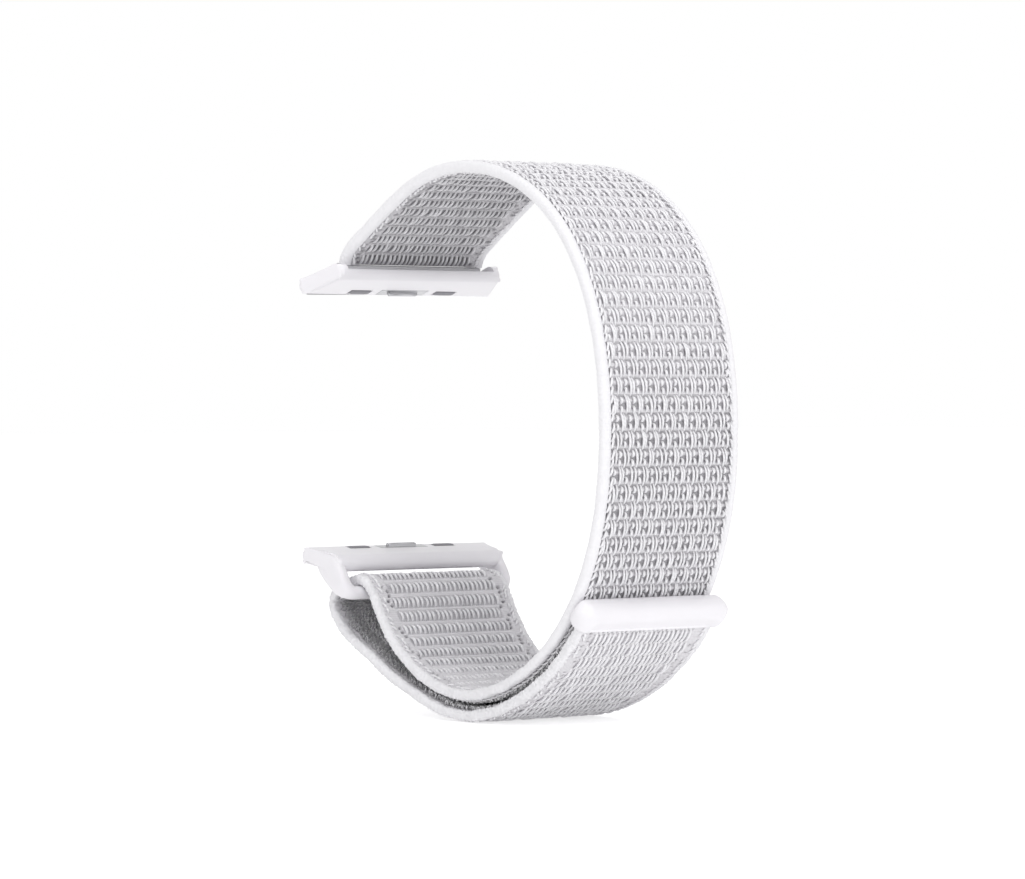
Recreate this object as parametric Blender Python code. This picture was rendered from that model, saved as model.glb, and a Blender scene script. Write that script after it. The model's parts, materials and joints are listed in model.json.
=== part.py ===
"""Woven nylon wrist strap that closes with hook and loop pile.

One flat webbing leaves the upper lug, goes round the wrist, passes through
the ring of the lower lug, folds back on itself outside and ends in a moulded
pull tab. The pile holds the tail to the run under it.

Axes: metres, X across the strap, Y from the lugs into the loop, Z up. The
origin is the middle of the upper lug. Places are worked out in the Y-Z plane,
where the middle line of the webbing is one smooth curve.
"""

import math

import bmesh
import bpy
import numpy as np
from mathutils import Matrix, Vector

MM = 0.001

# Spacing of the two lugs, set by the two slots that they slide into
LUG_SPACING = 39.15 * MM

# Loop of the webbing, to its middle line: reach behind the lugs, rise over the
# upper lug and drop under the lower one. Shares are (depth, height from the top).
LOOP_DEPTH = 56.2 * MM
LOOP_RISE = 14.75 * MM
LOOP_DROP = 17.65 * MM
LOOP_SHARES = [
    (0.038, 0.149), (0.073, 0.129), (0.186, 0.072), (0.322, 0.018), (0.471, 0.000),
    (0.675, 0.032), (0.842, 0.123), (0.955, 0.273), (1.000, 0.496), (0.966, 0.691),
    (0.846, 0.861), (0.647, 0.971), (0.468, 1.000), (0.289, 0.957), (0.155, 0.850),
]

# Webbing: a woven core between two rolled edges, wider where it meets the lugs
STRAP_WIDTH = 23.9 * MM
STRAP_FLARE = 1.3 * MM
FLARE_REACH = 32.0 * MM
STRAP_THICKNESS = 1.6 * MM
EDGE_WIDTH = 1.5 * MM
EDGE_PROUD = 0.15 * MM
EDGE_SIDES = 8
EDGE_SQUARENESS = 2.6
CORE_CHAMFER = 0.25 * MM
LONGEST_STEP = 2.6 * MM
SHORTEST_STEP = 0.4 * MM
LARGEST_TURN = math.radians(9)

# Fold in front of the bar, and the free stretch of the tail that runs from it
# under the bar. Shares of the fold's reach, measured from the bar.
FOLD_REACH = 6.3 * MM
FOLD_SHARES = [
    (-0.54, 0.14), (-0.99, -0.17), (-0.66, -0.78), (0.19, -1.30), (1.05, -1.78), (1.89, -2.13),
]

# Tail outside the lower run, held there by the pile. Reaches count from the bar,
# along the lower run for the first two and along the tail for the third.
PILE_GAP = 1.00 * MM
JOIN_REACH = 22.0 * MM
TAIL_REACH = 56.1 * MM
JOIN_POINTS = 6
TAIL_START_REACH = 13.5 * MM

# Both lugs
LUG_DEPTH = 7.4 * MM
LUG_THICKNESS = 2.5 * MM
LUG_END_ROUND = 0.55 * MM
LUG_END_SEGMENTS = 3
UPPER_TILT = math.radians(20)
LOWER_TILT = math.radians(10)
UPPER_END_TAPER = 1.3 * MM
LOWER_END_TAPER = 0.7 * MM

# Upper lug: the pin and the channel in which the end loop turns
PIN_ALONG = 0.45 * MM
PIN_RISE = 0.15 * MM
PIN_RADIUS = 0.35 * MM
PIN_ENGAGEMENT = 0.80 * MM
LOOP_WALL = 0.40 * MM
NECK_LENGTH = 1.95 * MM
EXIT_ANGLE = math.radians(74)
CHANNEL_GAP = 0.15 * MM
CHANNEL_LOW = math.radians(19)
CHANNEL_HIGH = math.radians(140)
CHANNEL_SIDE_GAP = 0.40 * MM
EAR_WIDTH = 2.4 * MM

# Lower lug: the ring that the webbing passes through
BAR_OUT = 4.6 * MM
BAR_RADIUS = 0.95 * MM
SLOT_SLACK = 0.75 * MM
BAR_MEET_ANGLE = math.radians(62)
BAR_TOP_ANGLE = math.radians(92)
BAR_LEAVE_ANGLE = math.radians(112)
ARM_THICKNESS = 1.7 * MM
ARM_ROOT = 2.2 * MM
ARM_ROOT_ROUND = 2.2 * MM
ARM_ROOT_SHARE = 0.8
ARM_START = -1.2 * MM
ARM_BEND = 1.5 * MM
ARM_TAPER_POWER = 3
ARM_SIDE_GAP = 0.9 * MM
ARM_STEPS = 10
BEND_STEPS = 8
RING_SIDES = 20

# Spring latch in the middle of each lug
LATCH_ALONG = -1.7 * MM
PLUNGER_LENGTH = 5.4 * MM
PLUNGER_DEPTH = 1.10 * MM
PLUNGER_BASE = 0.35 * MM
PLUNGER_SHOULDER = 0.25 * MM
PLUNGER_PROUD = 0.50 * MM
NOSE_ROUND = 0.20 * MM
NOSE_SEGMENTS = 3
RETAINER_END_FLANGE = 1.4 * MM
RETAINER_SIDE_FLANGE = 0.3 * MM
RETAINER_WALL = 0.25 * MM
SPRING_MARGIN = 0.25 * MM
SPRING_WALL = 0.10 * MM
SPRING_ARCH = 0.30 * MM
SPRING_STEPS = 10

# Friction pads on both sides of the latch, at a share of the lug's half length
PAD_REACH_SHARE = 0.49
PAD_LENGTH = 3.6 * MM
PAD_DEPTH = 1.2 * MM
PAD_THICKNESS = 0.50 * MM
PAD_PROUD = 0.12 * MM
PAD_SIDES = 12
PAD_SQUARENESS = 5

# Pull tab. Shares are (run along the strap, height over or under the webbing).
TAB_SIDE = 1.1 * MM
TAB_RUN = 4.1 * MM
TAB_RISE = 1.15 * MM
TAB_INNER_WALL = 0.40 * MM
TAB_SEAT = 2.2 * MM
TAB_END_ROUND = 1.9 * MM
TAB_END_STEPS = 5
TAB_TIP_SHARE = 0.35
TAB_OUTLINE_SHARES = [
    (-0.44, -1.00), (-0.50, -0.75), (-0.50, 0.45), (-0.44, 0.66), (-0.28, 0.88),
    (-0.10, 0.99), (0.10, 1.00), (0.30, 0.93), (0.43, 0.72), (0.50, 0.35),
    (0.50, -0.45), (0.44, -0.85), (0.32, -1.00),
]

# Hook patch on the side of the tail that lies on the strap
HOOK_LENGTH = 15.0 * MM
HOOK_MARGIN = 2.3 * MM
HOOK_THICKNESS = 0.35 * MM
HOOK_SETBACK = 3.0 * MM
TIP_MARGIN = 5.0 * MM

# Clearances
JOINT_GAP = 0.25 * MM
EDGE_GAP = 0.20 * MM
FIT_GAP = 0.12 * MM
RUN_GAP = 0.20 * MM
OVERRUN = 2.0 * MM

PILL_SIDES = 36
ARC_SIDES = 24
PIN_SIDES = 16
CURVE_SAMPLES = 24
SHARP_ANGLE = math.radians(35)


# Objects and materials

def clear_scene():
    for item in list(bpy.data.objects):
        bpy.data.objects.remove(item, do_unlink=True)


def make_material(name, color, roughness, metallic=0.0):
    material = bpy.data.materials.new(name)
    material.use_nodes = True
    shader = material.node_tree.nodes["Principled BSDF"]
    shader.inputs["Base Color"].default_value = (*color, 1.0)
    shader.inputs["Roughness"].default_value = roughness
    shader.inputs["Metallic"].default_value = metallic
    return material


def make_pivot(name, matrix, parent=None):
    """Empty that stands at a joint or in the middle of a lug."""
    pivot = bpy.data.objects.new(name, None)
    pivot.empty_display_size = LUG_DEPTH
    bpy.context.scene.collection.objects.link(pivot)
    if parent:
        pivot.parent = parent
        pivot.matrix_parent_inverse = parent.matrix_world.inverted()
    pivot.matrix_world = matrix
    return pivot


def add_object(name, bm, material, pivot, in_world=False):
    """Object under pivot. Its mesh is in the pivot's axes unless in_world."""
    if in_world:
        bm.transform(pivot.matrix_world.inverted())
    bmesh.ops.recalc_face_normals(bm, faces=bm.faces)
    mesh = bpy.data.meshes.new(name)
    bm.to_mesh(mesh)
    bm.free()
    mesh.shade_smooth()
    mesh.set_sharp_from_angle(angle=SHARP_ANGLE)
    if material:
        mesh.materials.append(material)
    item = bpy.data.objects.new(name, mesh)
    bpy.context.scene.collection.objects.link(item)
    item.parent = pivot
    return item


def combine(item, name, bm, operation):
    """Boolean of item with a hidden operand that keeps its own object."""
    operand = add_object(name, bm, None, item.parent)
    operand.hide_render = True
    operand.display_type = "WIRE"
    modifier = item.modifiers.new(name, "BOOLEAN")
    modifier.operation = operation
    modifier.solver = "EXACT"
    modifier.object = operand


# Curves in the Y-Z plane

def unit(vector):
    return vector / np.linalg.norm(vector)


def at_angle(angle):
    return np.array([math.cos(angle), math.sin(angle)])


def smooth_curve(points, start, end):
    """Close samples of the cubic curve through points, with given end directions."""
    knots = np.array(points, float)
    chords = np.linalg.norm(np.diff(knots, axis=0), axis=1)
    count = len(knots)
    system = np.eye(count)
    right = np.zeros((count, 2))
    right[0], right[-1] = start, end
    for i in range(1, count - 1):
        before, after = chords[i - 1], chords[i]
        system[i, i - 1:i + 2] = after, 2 * (before + after), before
        right[i] = 3 * (after * (knots[i] - knots[i - 1]) / before
                        + before * (knots[i + 1] - knots[i]) / after)
    slopes = np.linalg.solve(system, right)
    samples = []
    for i, chord in enumerate(chords):
        for t in np.arange(CURVE_SAMPLES) / CURVE_SAMPLES:
            samples.append((1 + 2 * t) * (1 - t) ** 2 * knots[i]
                           + t * (1 - t) ** 2 * chord * slopes[i]
                           + t * t * (3 - 2 * t) * knots[i + 1]
                           - t * t * (1 - t) * chord * slopes[i + 1])
    return np.array(samples + [knots[-1]])


def lengths_along(curve):
    steps = np.linalg.norm(np.diff(curve, axis=0), axis=1)
    return np.concatenate(([0.0], np.cumsum(steps)))


def directions_along(curve):
    slopes = np.gradient(curve, axis=0)
    return slopes / np.linalg.norm(slopes, axis=1)[:, None]


def at_length(curve, length):
    """Point and direction at a length along the curve."""
    along = lengths_along(curve)
    heading = directions_along(curve)
    point = np.array([np.interp(length, along, curve[:, i]) for i in (0, 1)])
    direction = np.array([np.interp(length, along, heading[:, i]) for i in (0, 1)])
    return point, unit(direction)


def stretch_of(curve, start, end):
    """Part of the curve between two lengths, thinned to even turns and steps."""
    along = lengths_along(curve)
    inside = (along > start) & (along < end)
    first, last = at_length(curve, start)[0], at_length(curve, end)[0]
    fine = np.vstack((first, curve[inside], last))
    kept = [fine[0]]
    anchor_length, anchor_heading = 0.0, directions_along(fine)[0]
    for length, point, heading in zip(lengths_along(fine), fine, directions_along(fine)):
        turn = math.acos(min(1.0, float(heading @ anchor_heading)))
        if length - anchor_length >= LONGEST_STEP or turn >= LARGEST_TURN:
            kept.append(point)
            anchor_length, anchor_heading = length, heading
    if np.linalg.norm(kept[-1] - fine[-1]) < SHORTEST_STEP:
        kept.pop()
    return np.array(kept + [fine[-1]])


def left_of(direction):
    """Square to direction, on the side of the webbing's pile face."""
    return np.array([-direction[1], direction[0]])


# Sizes that follow from others

def half_width(y):
    """Half the strap's width: it eases from its flare at the lugs to its plain width."""
    u = min(1.0, max(0.0, y / FLARE_REACH))
    return (STRAP_WIDTH + STRAP_FLARE * (1 - u) ** 2 * (1 + 2 * u)) / 2


def edge_thickness():
    return STRAP_THICKNESS + EDGE_PROUD


def channel_half_length():
    return half_width(0.0) + CHANNEL_SIDE_GAP


def lug_half_length():
    return channel_half_length() + EAR_WIDTH


def pad_reach():
    return PAD_REACH_SHARE * lug_half_length()


def loop_radius():
    return PIN_RADIUS + FIT_GAP + LOOP_WALL


def tip_length():
    return HOOK_SETBACK + HOOK_LENGTH + TIP_MARGIN


# Frames: matrices with X across, then along and out in the Y-Z plane

def plane_frame(origin, along, out):
    along3 = Vector((0.0, *along))
    out3 = Vector((0.0, *out))
    across = along3.cross(out3)
    matrix = Matrix((across, along3, out3)).transposed().to_4x4()
    matrix.translation = (0.0, *origin)
    return matrix


def upper_frame():
    along = at_angle(UPPER_TILT)
    return plane_frame((0.0, 0.0), along, left_of(along))


def lower_frame():
    along = at_angle(-LOWER_TILT)
    return plane_frame((0.0, -LUG_SPACING), along, -left_of(along))


def pin_place():
    along = at_angle(UPPER_TILT)
    return PIN_ALONG * along + PIN_RISE * left_of(along)


def bar_place():
    drop = LUG_THICKNESS / 2 + STRAP_THICKNESS + SLOT_SLACK + BAR_RADIUS
    return np.array([BAR_OUT, -LUG_SPACING - drop])


# The webbing's middle line

def bar_point(angle):
    """Point and direction of the middle line where it lies on the bar."""
    radius = BAR_RADIUS + FIT_GAP + STRAP_THICKNESS / 2
    return bar_place() + radius * at_angle(angle), left_of(at_angle(angle))


def main_curve():
    """From the end loop, over the wrist and back up to the top of the bar."""
    height = LOOP_RISE + LUG_SPACING + LOOP_DROP
    start = at_angle(EXIT_ANGLE)
    points = [pin_place() + NECK_LENGTH * start]
    points += [(depth * LOOP_DEPTH, LOOP_RISE - fall * height) for depth, fall in LOOP_SHARES]
    points.append(bar_point(BAR_MEET_ANGLE)[0])
    top, direction = bar_point(BAR_TOP_ANGLE)
    return smooth_curve(points + [top], start, direction)


def tail_curve(main):
    """From the top of the bar, round the fold and back outside the lower run."""
    bar = bar_place()
    top, direction = bar_point(BAR_TOP_ANGLE)
    points = [top, bar_point(BAR_LEAVE_ANGLE)[0]]
    points += [bar + FOLD_REACH * np.array(share) for share in FOLD_SHARES]
    end = lengths_along(main)[-1]
    for reach in np.linspace(JOIN_REACH, TAIL_REACH, JOIN_POINTS):
        point, heading = at_length(main, end - reach)
        points.append(point + (edge_thickness() + PILE_GAP) * left_of(heading))
    return smooth_curve(points, direction, -heading)


# Mesh building

def loft(rings):
    """Closed body through rings of equal count, with flat ends."""
    bm = bmesh.new()
    loops = [[bm.verts.new(point) for point in ring] for ring in rings]
    for near, far in zip(loops, loops[1:]):
        for i in range(len(near)):
            j = (i + 1) % len(near)
            bm.faces.new((near[i], near[j], far[j], far[i]))
    bm.faces.new(reversed(loops[0]))
    bm.faces.new(loops[-1])
    return bm


def box(low, high):
    corners = [(low[1], low[2]), (high[1], low[2]), (high[1], high[2]), (low[1], high[2])]
    return loft([[(x, *corner) for corner in corners] for x in (low[0], high[0])])


def centred_box(length, depth, along, low, high):
    """Box in a lug's axes, centred across the strap, between two heights."""
    return box((-length / 2, along - depth / 2, low), (length / 2, along + depth / 2, high))


def rod(radius, half_length, along, out, sides):
    ring = [(along + radius * c, out + radius * s) for c, s in circle(sides)]
    return loft([[(x, *point) for point in ring] for x in (-half_length, half_length)])


def circle(sides):
    return [tuple(at_angle(math.tau * i / sides)) for i in range(sides)]


def superellipse(sides, power):
    """Rounded square outline of half size one."""
    return [(math.copysign(abs(c) ** (2 / power), c), math.copysign(abs(s) ** (2 / power), s))
            for c, s in (at_angle(math.tau * (i + 0.5) / sides) for i in range(sides))]


def pill(end_taper):
    """Rail that slides into its slot: a long bar with a flattened round section."""
    straight = LUG_DEPTH / 2 - LUG_THICKNESS / 2
    outline = []
    for c, s in circle(PILL_SIDES):
        outline.append((math.copysign(straight, c) + c * LUG_THICKNESS / 2, s * LUG_THICKNESS / 2))
    rings = []
    for side in (-1, 1):
        rings.append([(side * (lug_half_length() - end_taper * 2 * along / LUG_DEPTH), along, out)
                      for along, out in outline])
    bm = loft(rings)
    rims = [edge for edge in bm.edges if len(edge.link_faces[0].verts) != len(edge.link_faces[1].verts)]
    bmesh.ops.bevel(bm, geom=rims, offset=LUG_END_ROUND, segments=LUG_END_SEGMENTS,
                    profile=0.5, affect="EDGES", clamp_overlap=True)
    return bm


def strip(curve, section, lift=0.0):
    """Body along the curve. section gives (across, out) points for a half width."""
    rings = []
    for point, heading in zip(curve, directions_along(curve)):
        square = left_of(heading)
        rings.append([(x, *(point + (lift + out) * square)) for x, out in section(half_width(point[0]))])
    return loft(rings)


def core_section(half):
    side = half - EDGE_WIDTH - EDGE_GAP
    top = STRAP_THICKNESS / 2
    cut = CORE_CHAMFER
    quarter = [(side, top - cut), (side - cut, top)]
    upper = quarter + [(-x, out) for x, out in reversed(quarter)]
    return upper + [(-x, -out) for x, out in upper]


def edge_section(side):
    def section(half):
        middle = side * (half - EDGE_WIDTH / 2)
        return [(middle + x * EDGE_WIDTH / 2, out * edge_thickness() / 2)
                for x, out in superellipse(EDGE_SIDES, EDGE_SQUARENESS)]
    return section


def hook_section(half):
    side = half - HOOK_MARGIN
    out = HOOK_THICKNESS / 2
    return [(side, out), (-side, out), (-side, -out), (side, -out)]


# Sub-parts of the lugs

def named_sides(pivot):
    """Both sides of a lug in its own axes, named left for -X and right for +X of the world."""
    right = round(pivot.matrix_world[0][0])
    return (-right, "left"), (right, "right")


def cut_latch_seats(lug, prefix):
    """Pocket, retainer recess and pad recesses, all in the seat face."""
    face = -LUG_THICKNESS / 2
    recess = RETAINER_WALL + FIT_GAP
    depth = recess + PLUNGER_BASE + SPRING_ARCH + SPRING_WALL + 2 * FIT_GAP
    combine(lug, prefix + "_pocket_cutter",
            centred_box(PLUNGER_LENGTH + 2 * FIT_GAP, PLUNGER_DEPTH + 2 * FIT_GAP,
                        LATCH_ALONG, face - OVERRUN, face + depth), "DIFFERENCE")
    combine(lug, prefix + "_retainer_cutter",
            centred_box(retainer_length() + 2 * FIT_GAP, retainer_depth() + 2 * FIT_GAP,
                        LATCH_ALONG, face - OVERRUN, face + recess), "DIFFERENCE")
    for side, word in named_sides(lug.parent):
        bm = centred_box(PAD_LENGTH + 2 * FIT_GAP, PAD_DEPTH + 2 * FIT_GAP, LATCH_ALONG,
                         face - OVERRUN, face + PAD_THICKNESS - PAD_PROUD + FIT_GAP)
        bmesh.ops.translate(bm, verts=bm.verts, vec=(side * pad_reach(), 0.0, 0.0))
        combine(lug, f"{prefix}_{word}_pad_cutter", bm, "DIFFERENCE")


def retainer_length():
    return PLUNGER_LENGTH + 2 * RETAINER_END_FLANGE


def retainer_depth():
    return PLUNGER_DEPTH + 2 * RETAINER_SIDE_FLANGE


def add_plunger(prefix, steel, pivot):
    """Stepped latch plunger: a base kept under the retainer and a rounded nose."""
    face = -LUG_THICKNESS / 2
    base = face + RETAINER_WALL + FIT_GAP
    nose_length = PLUNGER_LENGTH - 2 * PLUNGER_SHOULDER
    nose_depth = PLUNGER_DEPTH - 2 * PLUNGER_SHOULDER
    levels = [
        (PLUNGER_LENGTH, PLUNGER_DEPTH, base + PLUNGER_BASE),
        (PLUNGER_LENGTH, PLUNGER_DEPTH, base),
        (nose_length, nose_depth, base),
    ]
    for i in range(NOSE_SEGMENTS + 1):
        turn = math.pi / 2 * i / NOSE_SEGMENTS
        inset = NOSE_ROUND * (1 - math.cos(turn))
        level = face - PLUNGER_PROUD + NOSE_ROUND * (1 - math.sin(turn))
        levels.append((nose_length - 2 * inset, nose_depth - 2 * inset, level))
    rings = []
    for length, depth, level in levels:
        corners = ((-1, -1), (1, -1), (1, 1), (-1, 1))
        rings.append([(x * length / 2, LATCH_ALONG + y * depth / 2, level) for x, y in corners])
    add_object(prefix + "_latch_plunger", loft(rings), steel, pivot)


def add_spring(prefix, steel, pivot):
    """Arched leaf spring between the plunger and the pocket's floor."""
    bottom = -LUG_THICKNESS / 2 + RETAINER_WALL + PLUNGER_BASE + 2 * FIT_GAP
    length = PLUNGER_LENGTH - 2 * SPRING_MARGIN
    depth = PLUNGER_DEPTH - 2 * SPRING_MARGIN
    rings = []
    for i in range(SPRING_STEPS + 1):
        share = 2 * i / SPRING_STEPS - 1
        level = bottom + SPRING_ARCH * share ** 2
        corners = ((-1, 0), (1, 0), (1, 1), (-1, 1))
        rings.append([(share * length / 2, LATCH_ALONG + y * depth / 2, level + z * SPRING_WALL)
                      for y, z in corners])
    add_object(prefix + "_latch_spring", loft(rings), steel, pivot)


def add_retainer(prefix, steel, pivot):
    """Thin plate flush with the lug that keeps the plunger in."""
    face = -LUG_THICKNESS / 2
    plate = add_object(prefix + "_latch_retainer",
                       centred_box(retainer_length(), retainer_depth(), LATCH_ALONG,
                                   face, face + RETAINER_WALL), steel, pivot)
    window = 2 * (PLUNGER_SHOULDER - FIT_GAP)
    combine(plate, prefix + "_window_cutter",
            centred_box(PLUNGER_LENGTH - window, PLUNGER_DEPTH - window, LATCH_ALONG,
                        face - OVERRUN, face + OVERRUN), "DIFFERENCE")


def add_pads(prefix, rubber, pivot):
    """Two pads, one on each side of the latch, that stop the lug rattling."""
    low = -LUG_THICKNESS / 2 - PAD_PROUD
    for side, word in named_sides(pivot):
        rings = []
        for level, inset in ((low, PAD_PROUD), (low + PAD_PROUD, 0.0), (low + PAD_THICKNESS, 0.0)):
            ring = []
            for x, y in superellipse(PAD_SIDES, PAD_SQUARENESS):
                ring.append((side * pad_reach() + x * (PAD_LENGTH / 2 - inset),
                             LATCH_ALONG + y * (PAD_DEPTH / 2 - inset), level))
            rings.append(ring)
        add_object(f"{prefix}_{word}_friction_pad", loft(rings), rubber, pivot)


def channel_outline():
    """Round behind the pin and open towards where the strap swings, in lug axes."""
    radius = loop_radius() + CHANNEL_GAP
    low, high = CHANNEL_LOW - UPPER_TILT, CHANNEL_HIGH - UPPER_TILT
    centre = np.array([PIN_ALONG, PIN_RISE])
    outline = []
    for i in range(ARC_SIDES + 1):
        angle = high + (math.tau + low - high) * i / ARC_SIDES
        outline.append(centre + radius * at_angle(angle))
    outline.append(centre + LUG_DEPTH * at_angle(low))
    outline.append(centre + LUG_DEPTH * at_angle((low + high) / 2))
    outline.append(centre + LUG_DEPTH * at_angle(high))
    return outline


def add_upper_lug(plastic, pivot):
    lug = add_object("upper_lug_body", pill(UPPER_END_TAPER), plastic, pivot)
    outline = channel_outline()
    half = channel_half_length()
    combine(lug, "channel_cutter", loft([[(x, *point) for point in outline] for x in (-half, half)]),
            "DIFFERENCE")
    combine(lug, "pin_hole_cutter",
            rod(PIN_RADIUS + FIT_GAP, half + PIN_ENGAGEMENT + FIT_GAP, PIN_ALONG, PIN_RISE, PIN_SIDES),
            "DIFFERENCE")
    cut_latch_seats(lug, "upper")


def ring_body():
    """Arms and bar of the lower ring as one bent rod, in world axes."""
    centre = np.array([0.0, -LUG_SPACING])
    reach = float(np.linalg.norm(bar_place() - centre))
    down = unit(bar_place() - centre)
    aside = left_of(down)
    arm_x = half_width(BAR_OUT) + ARM_SIDE_GAP + ARM_THICKNESS / 2
    bend = min(ARM_BEND, reach - ARM_ROOT)
    # Stations of one arm: across, down from the lug's middle, turn towards the bar
    stations = []
    for i in range(ARM_STEPS + 1):
        stations.append((arm_x, ARM_START + (reach - bend - ARM_START) * i / ARM_STEPS, 0.0))
    for i in range(1, BEND_STEPS + 1):
        turn = math.pi / 2 * i / BEND_STEPS
        stations.append((arm_x - bend * (1 - math.cos(turn)), reach - bend + bend * math.sin(turn), turn))
    mirrored = [(-x, d, math.pi - turn) for x, d, turn in reversed(stations)]
    rings = []
    for x, d, turn in stations + mirrored:
        taper = 1 - (min(reach, max(0.0, d)) / reach) ** ARM_TAPER_POWER
        wide = BAR_RADIUS + (ARM_ROOT - BAR_RADIUS) * taper
        start = min(1.0, (d - ARM_START) / ARM_ROOT_ROUND)
        wide *= math.sqrt(1 - ARM_ROOT_SHARE * (1 - start) ** 2)
        thick = BAR_RADIUS + (ARM_THICKNESS / 2 - BAR_RADIUS) * abs(math.cos(turn))
        power = 2 + abs(math.cos(turn))
        ring = []
        for a, b in superellipse(RING_SIDES, power):
            across = x + a * thick * math.cos(turn)
            place = centre + (d + a * thick * math.sin(turn)) * down + b * wide * aside
            ring.append((across, *place))
        rings.append(ring)
    return loft(rings)


def add_lower_lug(plastic, pivot):
    lug = add_object("lower_lug_body", pill(LOWER_END_TAPER), plastic, pivot)
    ring = ring_body()
    ring.transform(pivot.matrix_world.inverted())
    bmesh.ops.recalc_face_normals(ring, faces=ring.faces)
    combine(lug, "ring_operand", ring, "UNION")
    face = -LUG_THICKNESS / 2
    combine(lug, "seat_face_cutter",
            centred_box(2 * lug_half_length() + OVERRUN, 2 * LUG_DEPTH, 0.0, face - LUG_DEPTH, face),
            "DIFFERENCE")
    cut_latch_seats(lug, "lower")


def add_pin(steel, pivot):
    half = channel_half_length() + PIN_ENGAGEMENT
    add_object("upper_lug_pin", rod(PIN_RADIUS, half, PIN_ALONG, PIN_RISE, PIN_SIDES), steel, pivot)


# Sub-parts of the webbing

def add_end_loop(fabric, pivot):
    """Woven eye round the pin, with a short neck that carries the webbing."""
    radius = loop_radius()
    inner = PIN_RADIUS + FIT_GAP
    neck_half = math.asin(LOOP_WALL / radius)
    neck = NECK_LENGTH - JOINT_GAP
    outward = at_angle(EXIT_ANGLE)
    side = left_of(outward)
    outer_ring, inner_ring = [], []
    for i in range(ARC_SIDES + 1):
        angle = EXIT_ANGLE + neck_half + (math.tau - 2 * neck_half) * i / ARC_SIDES
        outer_ring.append(radius * at_angle(angle))
        inner_ring.append(inner * at_angle(angle))
    for sign in (-1, 1):
        outer_ring.append(neck * outward + sign * LOOP_WALL * side)
        inner_ring.append(inner * at_angle(EXIT_ANGLE + sign * neck_half / 2))
    half = half_width(0.0) - CORE_CHAMFER
    bm = bmesh.new()
    verts = [[[bm.verts.new((x, *(pin_place() + point))) for point in ring]
              for ring in (outer_ring, inner_ring)] for x in (-half, half)]
    count = len(outer_ring)
    for i in range(count):
        j = (i + 1) % count
        for ring in (0, 1):
            bm.faces.new((verts[0][ring][i], verts[0][ring][j], verts[1][ring][j], verts[1][ring][i]))
        for end in (0, 1):
            bm.faces.new((verts[end][0][i], verts[end][0][j], verts[end][1][j], verts[end][1][i]))
    add_object("end_loop", bm, fabric, pivot, in_world=True)


def add_webbing(label, curve, fabric, edging, pivot):
    """Core and both rolled edges of one stretch of the webbing."""
    add_object(label + "_webbing", strip(curve, core_section), fabric, pivot, in_world=True)
    for side, word in ((-1, "left"), (1, "right")):
        add_object(f"{label}_{word}_edge", strip(curve, edge_section(side)), edging, pivot,
                   in_world=True)


def add_hook_patch(tail, end, material, pivot):
    stretch = stretch_of(tail, end - HOOK_SETBACK - HOOK_LENGTH, end - HOOK_SETBACK)
    lift = STRAP_THICKNESS / 2 + FIT_GAP + HOOK_THICKNESS / 2
    add_object("hook_patch", strip(stretch, hook_section, lift), material, pivot, in_world=True)


def add_tab(tail, end, material, pivot):
    """Moulded pull tab: a rounded bar with a socket for the end of the webbing."""
    seat, heading = at_length(tail, end)
    out = -left_of(heading)
    centre = seat + (TAB_RUN / 2 - TAB_SEAT) * heading
    frame = plane_frame(centre, heading, out)
    height = STRAP_THICKNESS / 2 + TAB_RISE
    depth = edge_thickness() / 2 + RUN_GAP + TAB_INNER_WALL
    half = half_width(centre[0]) + TAB_SIDE
    shares = []
    for i in range(TAB_END_STEPS + 1):
        gone = 1 - i / TAB_END_STEPS
        low = math.sqrt(1 - TAB_TIP_SHARE ** 2)
        shares.append((half - TAB_END_ROUND * (1 - gone * low), math.sqrt(1 - (gone * low) ** 2)))
    stations = [(-x, share) for x, share in shares] + [(x, share) for x, share in reversed(shares)]
    rings = []
    for x, share in stations:
        rings.append([(x, share * run * TAB_RUN, share * rise * (height if rise > 0 else depth))
                      for run, rise in TAB_OUTLINE_SHARES])
    bm = loft(rings)
    bm.transform(frame)
    tab = add_object("pull_tab", bm, material, pivot, in_world=True)
    socket = edge_thickness() / 2 + RUN_GAP
    mouth = -TAB_RUN / 2
    cutter = box((-half_width(centre[0]) - RUN_GAP, mouth - OVERRUN, -socket),
                 (half_width(centre[0]) + RUN_GAP, mouth + TAB_SEAT + RUN_GAP, socket))
    cutter.transform(pivot.matrix_world.inverted() @ frame)
    combine(tab, "tab_socket_cutter", cutter, "DIFFERENCE")


def hinge_place(curve, length):
    """On the outer face of the tail, where it bends when it is lifted."""
    point, heading = at_length(curve, length)
    return point - left_of(heading) * edge_thickness() / 2


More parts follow.
